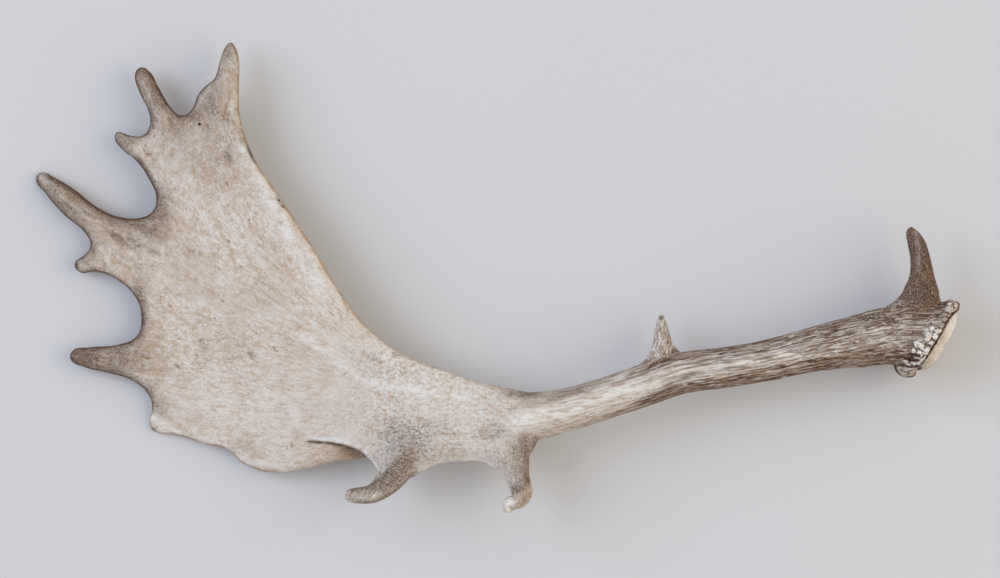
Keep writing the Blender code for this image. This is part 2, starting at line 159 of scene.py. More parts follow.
# Palm: height of its middle and half its thickness, at places over the blade
BLADE_FORM = [
    (26, -98, 41, 14.5), (0, -98, 41, 13.5), (-25, -96, 41, 11), (-53, -64, 41, 8),
    (-60, -112, 39, 9), (-95, -32, 40, 6.5), (-90, -85, 38, 5), (-88, -122, 36, 5),
    (-110, -114, 32, 4.5), (-133, -109, 25, 4.2), (-123, 10, 39, 6.2), (-150, -40, 33, 4.4),
    (-157, 62, 36, 6.2), (-180, -90, 17, 4.2), (-160, -131, 12, 4.2), (-190, 0, 27, 4.4),
    (-202, -115, 8.5, 4), (-239, -106, 2, 3.6), (-222, -60, 14, 4.4), (-180, 110, 31, 6.2),
    (-185, 160, 23, 5), (-230, 60, 20, 4.6), (-215, 105, 25, 5.2), (-247, 144, 15, 4.5),
    (-264, 98, 12, 4), (-250, -18, 12, 4.2), (-282, 38, 10.5, 5.5), (-304, 58, 8.6, 5),
    (-317, 68, 2.9, 4), (-292, 9, 8, 4), (-268, -57, 10.5, 6), (-295, -55, 9.5, 4),
]

# How far the form may ease off the places above, to stay fair
BLADE_EASE = 100

# Half thickness of the flat slab that a blade is bent from, and how far in from its edge the
# rounding reaches, in half thicknesses of the blade
HALF_SLAB = 5
EDGE_ROUNDING = 1.15

# Lobe behind the slit: its edge, and how far it drops below the main blade, with its half thickness
LOBE_EDGE = [
    (-166, -108), (-176, -122), (-168, -134), (-154, -136), (-138, -134.5), (-125, -131.5),
    (-109, -128), (-92, -126), (-76, -120), (-72, -108), (-90, -98), (-118, -96),
    (-146, -98),
]
LOBE_DROP = [
    (-172, -124, 0, 4.2), (-160, -133, 0, 4.2), (-150, -100, 0, 4.2), (-146, -134, 0, 4.2),
    (-138, -116, 0, 4.2), (-131, -118, 0.8, 4.2), (-136, -132, 0.5, 4.2), (-120, -117, 4.5, 4.4),
    (-122, -129, 3, 4.4), (-107, -118, 9.5, 4.6), (-108, -127, 8.5, 4.4), (-92, -122, 13, 4.4),
    (-80, -114, 13, 4.2), (-90, -100, 12, 4.2), (-118, -98, 4, 4.2),
]

# Stems that stand alone: place and radius along each
BEAM = [
    (-62, -92, 40, 4), (-40, -93, 40.5, 7), (-18, -96, 41, 10.5), (2, -98.5, 41, 14.4),
    (22, -97, 41, 17), (46, -92.8, 40.5, 15.4), (73, -85, 40, 14.6), (100, -76, 39.5, 14.8),
    (129, -66.4, 39, 14.6), (157, -62.8, 38, 14.3), (188, -57.7, 37, 14.8), (222, -49.7, 36, 15.9),
    (248, -44.8, 35.5, 17.8), (270, -41, 35, 20), (288, -40, 34, 22.5), (299, -40, 34, 23),
]
BROW_TINE = [
    (287.5, -42, 36, 13), (294.5, -25, 37, 14), (296.8, -11, 39, 11.6), (296.4, -3.4, 39.8, 9.5),
    (295.5, 6, 41, 8), (294.2, 15, 42, 7), (291.9, 23.5, 42.8, 6.3), (288.4, 31, 43.5, 4.3),
    (286.8, 34.4, 44, 2.3),
]
BROW_ROOT = [
    (250, -42, 36, 13), (268, -36.5, 36.5, 14), (281, -30.5, 37, 14), (289, -20, 38.5, 11.5),
    (293, -8, 40, 9), (295, 6, 41, 6.5),
]
TREZ_TINE = [
    (112, -68, 38, 14), (115, -57, 36, 10.5), (115.8, -47, 33, 7.2), (115.6, -39, 30, 5.6),
    (115.6, -32.5, 27, 4), (115.6, -26.4, 25, 2.2),
]
TREZ_ROOT = [(130, -64, 37, 10), (123.5, -58, 36, 8.2), (119, -51, 34, 6.6), (117, -43, 31.5, 5)]
CURLED_TINE = [
    (6, -98, 40, 8), (10, -114, 40, 11.5), (12.5, -128, 41, 11), (14.5, -137, 43, 9.1),
    (16.8, -144, 45.5, 7.9), (18, -150, 48, 7.4), (15, -155.5, 50, 5.3), (9, -156.5, 50.5, 4.3),
    (8.5, -163, 50, 3.1),
]
HOOKED_TINE = [
    (-52, -90, 38, 5), (-58, -105, 38, 8), (-64, -119, 38.7, 10.8), (-68, -129, 40.2, 12),
    (-73, -138.5, 43, 10.8), (-79.5, -146, 47, 8.2), (-86, -150, 50, 6.7), (-94, -151, 52, 5.8),
    (-100.5, -151, 53, 4.9), (-104, -150.5, 53, 3.2),
]
TREE = {
    "beam": BEAM, "brow": BROW_TINE, "brow_root": BROW_ROOT, "trez": TREZ_TINE,
    "trez_root": TREZ_ROOT, "curled": CURLED_TINE, "hooked": HOOKED_TINE,
}

# Stems that grow in the blade's own surface: place and radius along each
TOP_TINE = [
    (-185.3, 162, 1.6), (-185.8, 158, 3.8), (-186, 151, 5.8), (-187.3, 141, 7.4),
    (-190, 128, 8.2), (-193, 114, 7.6), (-195, 96, 6), (-194, 72, 3.6),
]
SECOND_TINE = [
    (-247.6, 146, 1.8), (-246.6, 142, 3.9), (-243, 134, 5.4), (-238.5, 125, 6.6),
    (-233.5, 115, 7), (-228, 101, 5.6), (-220, 80, 3.4),
]
THIRD_TINE = [(-265.3, 100, 2.2), (-260, 95.5, 4.3), (-252, 90, 5.6), (-243, 83, 5), (-226, 72, 3.2)]
LONG_TINE = [
    (-321, 71.5, 2.4), (-316, 67.5, 4.6), (-305, 58.5, 7.2), (-287, 43.5, 8.2), (-272, 30, 7.8),
    (-256, 17, 6), (-236, 2, 4.2), (-214, -14, 2.8),
]
SPUR = [(-292.5, 8, 2.6), (-284, 10, 4.6), (-271, 13, 5), (-248, 14, 3)]
REAR_TINE = [
    (-296.5, -54.5, 2.2), (-287, -56, 5.8), (-274, -57, 7.8), (-259, -58.5, 8.4),
    (-243, -60, 6.4), (-222, -60, 4.4), (-196, -58, 2.8),
]
CORNER = [(-240, -106, 2.4), (-234, -101, 4), (-214, -88, 2.4)]
SURFACE_STEMS = {
    "top": TOP_TINE, "second": SECOND_TINE, "third": THIRD_TINE, "long": LONG_TINE,
    "spur": SPUR, "rear": REAR_TINE, "corner": CORNER,
}

# Ridges that run up the beam from the burr: angle round the beam, length and radius
RIDGES = [
    (84, 70, 3.2), (52, 48, 3), (118, 58, 3.2), (150, 42, 2.8), (196, 60, 3), (240, 46, 3),
    (292, 52, 3),
]
RIDGE_START = 288
RIDGE_POINTS = 6

# How deep a ridge is sunk in radii, how far it turns between its points, and how much it thins out
RIDGE_SINK = 0.55
RIDGE_TWIST = 0.12
RIDGE_TAPER = 0.75

# Fan of the palm's grain: where its lines meet, the radius at which its turn is measured,
# and the distances from the root between which the fan gives way to the neck's own lines
FAN_ROOT = (-40, -88)
FAN_RADIUS = 130
NECK_NEAR = 35
NECK_FAR = 95

# Along X: where the palm turns into the beam, where the beam grows rough towards the burr, where
# it turns brown, where the palm proper ends, and where the flat part that is thinned out ends
PALM_TO_BEAM = (-20, 65)
BURR_APPROACH = (150, 280)
BROWN_BEAM = (60, 150)
PALM_END = (-60, -20)
FLAT_END = 40

# Where the beam's two sides begin, in radii from its middle: over it and under it in the picture
OVER_SIDE = (0.25, 0.85)
UNDER_SIDE = (0.15, 0.85)

# The palm's stained rim: where its tined part sets in along -X and Y, its width, its strength and
# what the tined part adds, and how far the lobe's join and the side tines keep off it
TINED_X = (190, 235)
TINED_Y = (-98, -80)
RIM_STAIN_WIDTH = 3.2
RIM_STAIN = 0.1
TINED_RIM_STAIN = 0.65
OFF_RIM = 6

# Relief in millimetres: furrows, finer furrows and swell of the smooth beam and what the burr
# adds to each, flakes near the burr, lines and swell of the tines, lumps at the burr's root,
# waves and vessels of the palm, lines of its neck, and pores
FURROWS = (0.12, 0.40)
FINE_FURROWS = (0.10, 0.34)
SWELL = (0.25, 0.45)
FLAKES = 0.4
TINE_LINES = 0.22
TINE_SWELL = 0.2
ROOT_LUMPS = 0.5
PALM_WAVES = 0.5
PALM_VESSELS = 0.12
NECK_LINES = 0.14
PORES = 0.06

# Brown and grey stains, and painted shade on the lobe under the slit's rim: place, radius along and
# across, turn in degrees and strength
STAIN_AND_SHADE_SPOTS = [
    (-298, 53, 30, 11, -38, 0.6), (-315, 66, 9, 7, -38, 0.3), (-250, 40, 22, 5, 5, 0.5),
    (-265, 28, 12, 3, -35, 0.9), (-232, 45, 6, 20, 0, 0.55), (-243, 31, 14, 8, 10, 0.5),
    (-247, 142, 6, 7, 0, 0.7), (-238, 124, 8, 22, 25, 0.5), (-240, 114, 2.5, 7, 35, 0.7),
    (-214, 112, 16, 7, 10, 0.6), (-224, 104, 8, 8, 0, 0.5), (-198, 122, 8, 14, -15, 0.6),
    (-186, 158, 6, 9, 0, 0.55), (-195, 142, 4, 12, -25, 0.55), (-187.3, 111.9, 2.6, 2.4, 0, 0.8),
    (-186.2, 83.2, 2.8, 4.4, 20, 1.0), (-176, 92, 2, 9, 20, 0.35),
    (-260, 94, 8, 6, -35, 0.42), (-310, 68.6, 1.8, 1.2, -20, 0.9), (-294, 8, 2, 2, 0, 1.1),
    (-284, 11, 9, 5, 0, 0.4), (-284, 22, 8, 5, -30, 0.55), (-249, -18, 5, 24, 0, 0.6),
    (-246.5, -29, 2.4, 5, 0, 1.0), (-290, -56, 17, 9, 0, 1.0), (-263, -56, 17, 10, 0, 0.65),
    (-250, -52, 8, 5, 0, 0.35), (-243, -84, 6, 12, 0, 0.35), (-233, -92, 8, 10, 0, 0.4),
    (-240, -106.5, 2.4, 2, 0, 0.6),
    (-205.6, -44, 3, 1.8, -10, 0.85), (-203, -48.5, 2.6, 2, 0, 0.55), (-170.5, -54.5, 3.2, 2.4, -25, 0.9),
    (-83, -57.3, 4.2, 1.4, -25, 0.95), (-69.2, -53.7, 3, 1.2, -25, 0.7), (-60, -66, 7, 2, -25, 0.5),
    (-91, -52, 3, 1.2, -30, 0.6), (-176, -117, 9, 9, 0, 0.35), (-143.9, -118.2, 3.4, 0.9, 25, 0.9),
    # The last mark on the next line is painted shade on the lobe under the slit's rim
    (-60, -112, 26, 15, -25, 0.5), (-68, -130, 13, 12, -40, 0.6), (-97, -123, 13, 3.2, -14, 0.75),
    (-104, -150, 3, 4, 0, 0.6), (-42, -104, 20, 9, -10, 0.36), (-30, -118, 18, 9, 0, 0.3),
    (15, -119, 8, 13, 0, 0.55), (19, -113, 7, 2.5, 20, 0.8), (-2, -108, 18, 7, 5, 0.5),
    (16, -132, 8, 13, 0, 0.5), (10, -157, 3.5, 3, 0, 0.4), (50, -80.5, 32, 4.5, 17, 0.6),
    (19, -81, 18, 3.4, -3, 0.8), (294, 18, 12, 26, 0, 0.6), (295, -10, 15, 13, 0, 0.7),
    (115.2, -28.6, 1.6, 1.6, 0, 1.2), (119.4, -42, 2, 8, 0, 0.5), (-118, -101, 14, 8, 0, 0.25),
    (-64, -120, 15, 16, -25, 0.6),
]

# Pin-holes in the palm: place and radius
PIN_HOLES = [((-206.2, 106.6), 1.4), ((-193, 114.8), 0.7), ((-150.5, 53.5), 0.8), ((-148, 49), 0.7)]

# Broad faint stains: the same numbers as a stain's
BROAD_STAINS = [
    (-200, 95, 48, 34, 0, 0.33), (-245, 40, 24, 32, 0, 0.28), (-245, -55, 26, 40, 0, 0.2),
    (-188, 140, 12, 24, 0, 0.3), (-66, -114, 26, 14, -10, 0.2),
]

# Stained lines, and a painted shadow in the slit under the blade's rim: half width, strength, how much of
# it is lost along the way, and the places
STAIN_AND_SHADOW_LINES = [
    (3.0, 1.25, 0, [(-312, 71), (-297, 62), (-275, 46), (-258, 41), (-246, 43), (-239, 49)]),
    (3.4, 0.6, 0, [(-300, 56), (-282, 44), (-262, 36), (-246, 38)]),
    (3.0, 0.7, 0, [(-322, 68), (-316, 58), (-302, 43), (-287, 30)]),
    (2.4, 0.75, 0, [(-236, 55), (-240, 66), (-250, 81)]),
    (2.6, 0.95, 0, [(-241, 141), (-234, 130), (-225, 117), (-218, 113)]),
    (2.0, 0.6, 0, [(-210, 120), (-206, 129), (-197, 138)]),
    (1.8, 0.7, 0, [(-243, 101), (-243, 112), (-248, 127), (-252, 141)]),
    (1.6, 0.9, 0, [(-246, 121), (-242, 112), (-239, 106)]),
    (2.2, 0.6, 0, [(-242, 139), (-236, 128), (-230, 118)]),
    (0.9, 0.9, 0, [(-296, 56), (-278, 42), (-258, 33), (-238, 24)]),
    (0.8, 0.8, 0, [(-290, 46), (-270, 33), (-248, 22), (-226, 14)]),
    (0.8, 0.7, 0, [(-254, 38), (-238, 34), (-220, 22), (-202, 14)]),
    (1.8, 0.8, 0, [(-294, -50.5), (-270, -48), (-254, -43), (-249, -33)]),
    (1.6, 0.8, 0, [(-172, 89), (-167, 80)]),
    (1.5, 0.7, 0, [(-151.5, 54), (-148, 49)]),
    (1.8, 0.9, 0, [(-98, -146), (-88, -145.5), (-80, -141)]),
    (2.0, 0.7, 0, [(23, -116), (24, -126), (25, -139)]),
    (1.4, 0.9, 0, [(6, -148), (12, -145.5), (17, -141)]),
    (2.4, 0.6, 0, [(-60, -143), (-52, -136)]),
    (9.5, 1.0, 0, [(-63, -127), (-71, -138), (-80, -145)]),
    (6.0, 0.8, 0, [(-80, -145), (-88, -149), (-97, -150)]),
    (3.0, 1.3, 0, [(-73, -133), (-77, -138), (-84, -143.5), (-92, -145), (-101, -146)]),
    (2.8, 0.9, 0, [(-58, -137), (-64, -143), (-73, -150), (-84, -156), (-96, -156)]),
    (5.0, 0.85, 0, [(20, -112), (21, -126), (21, -140)]),
    (2.6, 0.9, 0, [(27, -112), (26, -122), (26.5, -138)]),
    (2.2, 1.0, 0, [(25, -139), (18, -146), (9, -150)]),
    (2.0, 0.5, 0, [(24, -150), (16, -157)]),
    (2.0, 0.5, 0, [(0, -132), (4, -139), (7, -147)]),
    # Painted shadow in the slit, under the main blade's overhanging rim
    (0.9, 1.0, 0, [(-131, -114.8), (-117, -115.2), (-106, -117), (-96, -120.5), (-88, -126)]),
    (2.2, 0.3, 0, [(60, -104), (90, -93), (125, -81), (160, -77)]),
    (1.6, 0.8, 0, [(301, 9), (298, 22), (293.5, 32)]),
    (1.6, 0.7, 0, [(288, 3), (288, 16), (286.5, 28)]),
]

# Ochre shades, with painted warm shade on the lobe under the slit's rim and painted warm light on facets
# of the curled and hooked tines: the same numbers as a stain's
OCHRE_AND_PAINTED_LIGHT_SPOTS = [
    # Painted warm shade on the lobe under the slit's rim
    (-100, -122.5, 15, 5, -12, 1.5), (-112, -119.5, 15, 3.5, -6, 0.7), (-118, -128, 14, 4, 0, 0.25),
    # Painted warm light on the lit facets of the curled tine and the hooked tine, the first three marks
    (18, -152, 9, 4, 0, 0.7), (22, -146, 4, 6, 0, 0.5), (-76, -147, 9, 4, -25, 0.5),
    (-284, 47, 34, 13, -38, 0.75), (-242, 132, 9, 22, 25, 0.65), (-262, 95, 8, 6, -35, 0.4),
    (-280, -56, 20, 9, 0, 0.2), (-238, 38, 18, 16, 0, 0.6), (-212, 112, 16, 8, 0, 0.4),
]

# Where the lobe grows out of the blade, so that no edge shows: the same numbers as a stain's
LOBE_JOIN = [(-141, -129, 11, 9, -60, 1.0)]

# Pale worn lines, and painted highlights on the palm's front edge, the slit's rim, the hooked tine's
# facet, the curled tine's left side and knob and the brow tine's left side: the same as the stained ones
WORN_AND_HIGHLIGHT_LINES = [
    # Worn pale band and painted highlight along the palm's rounded front edge
    (6.0, 0.6, 0, [(-174, 86), (-168, 72), (-157, 52), (-145, 30), (-132, 8), (-118, -12)]),
    (2.2, 0.8, 0, [(-133, -41), (-112, -58), (-89, -72), (-54, -79), (-20, -84)]),
    (1.6, 0.4, 0, [(-180, 40), (-160, 6), (-135, -25), (-110, -46)]),
    (26, 0.24, 0, [(-200, -90), (-160, -94), (-122, -90)]),
    (5.5, 0.85, 0.9, [
        (12, -101), (46, -92), (70, -86), (100, -75), (128, -66), (157, -61), (190, -55), (220, -48)]),
    # Worn rim and painted highlight along the slit's upper edge
    (2.2, 1.1, 0, [(-130, -112.5), (-110, -113.5), (-98, -116.5), (-89, -123), (-84, -132)]),
    (2.0, 0.8, 0, [(-50, -134), (-35, -127.5), (-15, -126.5), (0, -131)]),
    # Painted highlight on the hooked tine's flat facet
    (2.2, 0.45, 0, [(-97, -151.5), (-88, -152), (-80, -150)]),
    (0.9, 0.32, 0, [(-306, 58), (-286, 43), (-262, 31)]),
    (0.8, 0.32, 0, [(-256, 31), (-234, 21), (-212, 10)]),
    (0.8, 0.28, 0, [(-292, 52), (-272, 38), (-250, 31)]),
    (0.9, 0.32, 0, [(-247, 138), (-241, 124), (-234, 108)]),
    # Painted highlight on the curled tine's left side
    (1.6, 0.6, 0, [(3, -134), (8, -146)]),
    (2.4, 0.4, 0, [(-236, -106), (-215, -109.5), (-195, -116), (-176, -128), (-150, -133)]),
    # Painted highlight on the left of the brow tine
    (1.6, 0.22, 0.3, [(291, 31), (293.5, 19), (292.5, 4)]),
    # Worn white knob and painted highlight at the curled tine's end
    (3.0, 1.1, 0, [(8.6, -163), (9, -156)]),
    (5.0, 0.5, 0, [(-160, 100), (-168, 130)]), (3.4, 0.8, 0, [(-240, -99), (-234, -106), (-222, -110)]),
]

# How brown each side tine is: brow, trez, curled and hooked
TINE_TONES = (0.95, 0.1, 0.3, 0.3)

# Colours
PALE_CREAM = (0.82, 0.75, 0.68, 1)
CREAM = (0.66, 0.555, 0.465, 1)
TAN = (0.465, 0.33, 0.222, 1)
OCHRE = (0.485, 0.305, 0.165, 1)
RUST = (0.26, 0.145, 0.075, 1)
UMBER = (0.28, 0.165, 0.095, 1)
DARK_UMBER = (0.085, 0.042, 0.024, 1)
LINE_BROWN = (0.085, 0.038, 0.02, 1)
DEEP_BROWN = (0.02, 0.012, 0.008, 1)
GREY_BROWN = (0.285, 0.21, 0.16, 1)
GREY_TAN = (0.48, 0.39, 0.315, 1)
# Brown of the stains, and of the painted shade in the slit and on the lobe
STAIN_AND_SHADE_BROWN = (0.205, 0.132, 0.09, 1)
BROW_BROWN = (0.24, 0.122, 0.08, 1)
STAIN_FLECK = (0.08, 0.05, 0.034, 1)
WHITE_BONE = (0.91, 0.88, 0.84, 1)
NECK_GREY = (0.80, 0.79, 0.775, 1)
# Dirt and painted shade in the creases and hollows
CREASE_BROWN = (0.27, 0.165, 0.09, 1)
# Painted warm bounce light on the palm's rounded, downward-turned edge
RIM_ORANGE = (0.40, 0.235, 0.12, 1)
PEARL_CREAM = (0.88, 0.83, 0.765, 1)
SEAL_CREAM = (0.86, 0.77, 0.66, 1)
SEAL_TAN = (0.66, 0.52, 0.41, 1)
FLOOR_PAINT = (0.70, 0.69, 0.70, 1)
SKY = (0.97, 0.96, 1.0, 1)

# Camera and floor
CAMERA_LENS = 200
SENSOR_WIDTH = 36
FRAME_WIDTH = 696.3
FRAME_CENTRE = (2.9, -8.1, 30)
FLOOR_SIZE = 8

# Lights: place and size in metres, power in watts, and colour
WINDOW = ((-4.2, 1.3, 3.7), 4.0, 182, (0.68, 0.80, 1.0))
LAMP = ((3.4, 0, 2.7), 4.0, 84, (1.0, 0.93, 0.70))
SKY_STRENGTH = 0.47


# Shape of the antler

def new_object(name, data):
    thing = bpy.data.objects.new(name, data)
    bpy.context.scene.collection.objects.link(thing)
    return thing


def as_mesh(thing):
    """Makes a mesh object of what a curve or a modified object evaluates to."""
    graph = bpy.context.evaluated_depsgraph_get()
    mesh = bpy.data.meshes.new_from_object(thing.evaluated_get(graph))
    weld = bmesh.new()
    weld.from_mesh(mesh)
    bmesh.ops.remove_doubles(weld, verts=weld.verts, dist=0.001 * MM)
    weld.to_mesh(mesh)
    weld.free()
    solid = new_object(thing.name, mesh)
    solid.matrix_world = thing.matrix_world
    bpy.data.objects.remove(thing, do_unlink=True)
    return solid


def read_points(mesh):
    points = np.empty(len(mesh.vertices) * 3)
    mesh.vertices.foreach_get("co", points)
    return points.reshape(-1, 3) / MM


def write_points(mesh, points):
    mesh.vertices.foreach_set("co", (points * MM).ravel())
    mesh.update()


def smooth_form(places):
    """Returns a function of x and y that passes smoothly through values given at a few places."""
    rows = np.array(places, dtype=float)
    spots, values = rows[:, :2], rows[:, 2:]

    def bend(points):
        square = ((points[:, None, :] - spots[None, :, :]) ** 2).sum(axis=2)
        return 0.5 * square * np.log(square + 1e-9)

    def plane(points):
        return np.column_stack([np.ones(len(points)), points])

    size = len(spots)
    system = np.zeros((size + 3, size + 3))
    system[:size, :size] = bend(spots) + BLADE_EASE * np.eye(size)
    system[:size, size:] = plane(spots)
    system[size:, :size] = plane(spots).T
    weights = np.linalg.solve(system, np.vstack([values, np.zeros((3, values.shape[1]))]))

    def form(points):
        points = np.atleast_2d(np.asarray(points, dtype=float))
        return bend(points) @ weights[:size] + plane(points) @ weights[size:]

    return form


def remesh(solid, voxel):
    modifier = solid.modifiers.new("Voxels", "REMESH")
    modifier.mode = "VOXEL"
    modifier.voxel_size = voxel * MM
    return as_mesh(solid)


def outline_slab(name, edge):
    """A flat slab with the outline's smooth edge."""
    curve = bpy.data.curves.new(name, "CURVE")
    curve.dimensions = "2D"
    curve.fill_mode = "BOTH"
    curve.extrude = HALF_SLAB * MM
    curve.resolution_u = EDGE_STEPS
    spline = curve.splines.new("BEZIER")
    spline.bezier_points.add(len(edge) - 1)
    for point, (x, y) in zip(spline.bezier_points, edge):
        point.co = (x * MM, y * MM, 0)
        point.handle_left_type = "AUTO"
        point.handle_right_type = "AUTO"
    spline.use_cyclic_u = True
    return as_mesh(new_object(name, curve))


def rim_tree(slab):
    """A search tree of the slab's edge, seen from above."""
    rim = KDTree(len(slab.data.vertices))
    for vertex in slab.data.vertices:
        rim.insert((vertex.co.x, vertex.co.y, 0), vertex.index)
    rim.balance()
    return rim


def inset_from(rim, points):
    """How far each point lies from the rim, seen from above."""
    return np.array([rim.find((x * MM, y * MM, 0))[2] for x, y in points[:, :2]]) / MM


def blade(name, edge, form):
    """Bends a flat outline to its form, and rounds its edge to its thickness there."""
    slab = outline_slab(name, edge)
    rim = rim_tree(slab)
    sheet = remesh(slab, VOXEL)
    points = read_points(sheet.data)
    inset = inset_from(rim, points)
    middle, half = form(points[:, :2]).T
    reach = np.clip(inset / (EDGE_ROUNDING * half), 0, 1)
    rounding = np.sqrt(1 - (1 - reach) ** 2)
    points[:, 2] = middle + points[:, 2] / HALF_SLAB * half * rounding
    write_points(sheet.data, points)
    return sheet


def stem(name, route):
    """A round stem along points of x, y, z and radius."""
    curve = bpy.data.curves.new(name, "CURVE")
    curve.dimensions = "3D"
    curve.bevel_depth = MM
    curve.bevel_resolution = STEM_STEPS
    curve.resolution_u = STEM_STEPS
    curve.use_fill_caps = True
    spline = curve.splines.new("BEZIER")
    spline.radius_interpolation = "CARDINAL"
    spline.bezier_points.add(len(route) - 1)
    for point, (x, y, z, radius) in zip(spline.bezier_points, route):
        point.co = (x * MM, y * MM, z * MM)
        point.radius = radius
        point.handle_left_type = "AUTO"
        point.handle_right_type = "AUTO"
    return as_mesh(new_object(name, curve))


def surface_stem(name, route, form):
    """A stem whose middle follows the blade's own middle surface."""
    heights = form([point[:2] for point in route])[:, 0]
    lifted = [(x, y, height, radius) for (x, y, radius), height in zip(route, heights)]
    return stem(name, lifted)


# Burr

def burr_frame():
    """The burr's own frame: its Z is the way the seal faces."""
    heading = math.radians(BURR_HEADING)
    facing = Vector((math.cos(heading), math.sin(heading), 0))
    turn = facing.to_track_quat("Z", "X").to_matrix().to_4x4()
    return Matrix.Translation(Vector(BURR_CENTRE) * MM) @ turn


def burr_disc(inset, sunk_in):
    """The turned body of the burr: the domed seal, set in, and a flare on the beam's side, sunk in."""
    profile = []
    for radius, level in BURR_PROFILE:
        shrink = inset if level > 0 else sunk_in
        drop = inset if level > 0 else 0
        profile.append((max(radius - shrink, 0), level - drop))
    mesh = bpy.data.meshes.new("burr")
    mesh.from_pydata([(x * MM, 0, z * MM) for x, z in profile],
                     [(i, i + 1) for i in range(len(profile) - 1)], [])
    disc = new_object("burr", mesh)
    disc.matrix_world = burr_frame()
    screw = disc.modifiers.new("Turn", "SCREW")
    screw.steps = BURR_STEPS
    screw.render_steps = BURR_STEPS
    screw.use_merge_vertices = True
    screw.merge_threshold = 0.00001
    turned = as_mesh(disc)
    for vertex in turned.data.vertices:
        narrow = min(max((-vertex.co.y / MM - NARROWING_START) / NARROWING_REACH, 0), 1)
        narrow *= min(max(-vertex.co.z / MM / NARROWING_LEVEL, 0), 1)
        vertex.co.y *= 1 - FRONT_NARROWING * narrow
    return turned


def burr_pearls():
    """Rows of knobs round the burr, and the large knobs at its two ends."""
    chance = random.Random(PEARL_SEED)
    turn = burr_frame()
    beads = bmesh.new()
    for ring, level, count, out, around, along, begin in PEARL_ROWS:
        for step in range(count):
            angle = 2 * math.pi * (step + chance.uniform(-PEARL_STRAY, PEARL_STRAY)) / count
            if chance.random() < PEARLS_MISSING or math.sin(angle) < begin:
                continue
            size = chance.uniform(*PEARL_SIZES)
            radial = Vector((math.cos(angle), math.sin(angle), 0))
            sweep = PEARL_SWEEP * max(0, math.sin(angle)) ** 6
            inward = PEARL_DROP * max(0, -math.sin(angle)) ** 4
            spot = radial * (ring + chance.uniform(-PEARL_OUT, PEARL_OUT) + 0.3 * sweep - inward)
            spot.z = level + chance.uniform(-PEARL_LEVEL, PEARL_LEVEL) - sweep
            skew = Matrix.Rotation(chance.uniform(-PEARL_SKEW, PEARL_SKEW), 4, radial)
            axes = Matrix.Rotation(angle, 4, "Z")
            scale = Matrix.Diagonal((out * size, around * size * chance.uniform(*PEARL_WIDTHS),
                                     along * chance.uniform(*PEARL_LENGTHS), 1))
            place = Matrix.Translation(spot * MM) @ skew @ axes @ scale
            place = turn @ place @ Matrix.Scale(MM, 4)
            bmesh.ops.create_icosphere(beads, subdivisions=1, radius=1, matrix=place)
    for spot, size, degrees in BIG_KNOBS:
        lean = Matrix.Rotation(math.radians(degrees), 4, "X")
        place = turn @ Matrix.Translation(Vector(spot) * MM) @ lean @ Matrix.Diagonal((*size, 1))
        bmesh.ops.create_icosphere(beads, subdivisions=2, radius=MM, matrix=place)
    mesh = bpy.data.meshes.new("pearls")
    beads.to_mesh(mesh)
    beads.free()
    return new_object("pearls", mesh)


def ridge(name, angle, length, radius):
    """A raised line from the burr up the beam, half sunk in its surface."""
    turn = math.radians(angle)
    beam = np.array(BEAM, dtype=float)
    route = []
    for step in range(RIDGE_POINTS):
        x = RIDGE_START - length * step / (RIDGE_POINTS - 1)
        y, z, girth = (np.interp(x, beam[:, 0], beam[:, column]) for column in (1, 2, 3))
        side = math.cos(turn + RIDGE_TWIST * step)
        up = math.sin(turn + RIDGE_TWIST * step)
        taper = 1 - RIDGE_TAPER * step / (RIDGE_POINTS - 1)
        out = girth - RIDGE_SINK * radius * taper
        route.append((x, y + out * side, z + out * up, radius * taper))
    return stem(name, route)


# Skin

def fuse(name, pieces, voxel, smoothing):
    """Grows overlapping pieces together into one smooth skin."""
    whole = bmesh.new()
    for piece in pieces:
        piece.data.transform(piece.matrix_world)
        whole.from_mesh(piece.data)
        bpy.data.objects.remove(piece, do_unlink=True)
    mesh = bpy.data.meshes.new(name)
    whole.to_mesh(mesh)
    whole.free()
    skin = remesh(new_object(name, mesh), voxel)
    smooth = skin.modifiers.new("Smooth", "SMOOTH")
    smooth.iterations = smoothing
    return as_mesh(skin)


def drop_specks(solid):
    """Deletes what hangs loose from the largest surface, such as specks that the voxels leave."""
    shape = bmesh.new()
    shape.from_mesh(solid.data)
    left = set(shape.verts)
    surfaces = []
    while left:
        surface = [left.pop()]
        for point in surface:
            for edge in point.link_edges:
                other = edge.other_vert(point)
                if other in left:
                    left.remove(other)
                    surface.append(other)
        surfaces.append(surface)
    surfaces.sort(key=len)
    for speck in surfaces[:-1]:
        bmesh.ops.delete(shape, geom=speck, context="VERTS")
    shape.to_mesh(solid.data)
    shape.free()


def lattice(cells, seed):
    """A repeatable number from -1 to 1 for each whole-number cell."""
    spread = np.array([374761393, 668265263, 2147483647], dtype=np.uint64)
    stir = 1274126177
    mixed = (cells.astype(np.int64).astype(np.uint64) * spread).sum(axis=-1) + np.uint64(seed * stir)
    mixed = (mixed ^ (mixed >> np.uint64(13))) * np.uint64(stir)
    mixed = mixed ^ (mixed >> np.uint64(16))
    return (mixed & np.uint64(0xFFFFFF)).astype(float) / 0x7FFFFF - 1


def noise(points, seed=0):
    """Smooth noise from -1 to 1 with features about one unit across."""
    cells = np.floor(points)
    part = points - cells
    part = part * part * (3 - 2 * part)
    total = np.zeros(len(points))
    for corner in np.ndindex(2, 2, 2):
        corner = np.array(corner)
        weight = np.where(corner, part, 1 - part).prod(axis=1)
        total += weight * lattice(cells + corner, seed)
    return total


def layered_noise(points, layers, seed=0):
    total = np.zeros(len(points))
    for layer in range(layers):
        total += noise(points * 2 ** layer + 17.3 * layer, seed + layer) / 2 ** layer
    return total


def ramp(values, low, high):
    """Runs smoothly from 0 at low to 1 at high."""
    part = np.clip((values - low) / (high - low), 0, 1)
    return part * part * (3 - 2 * part)


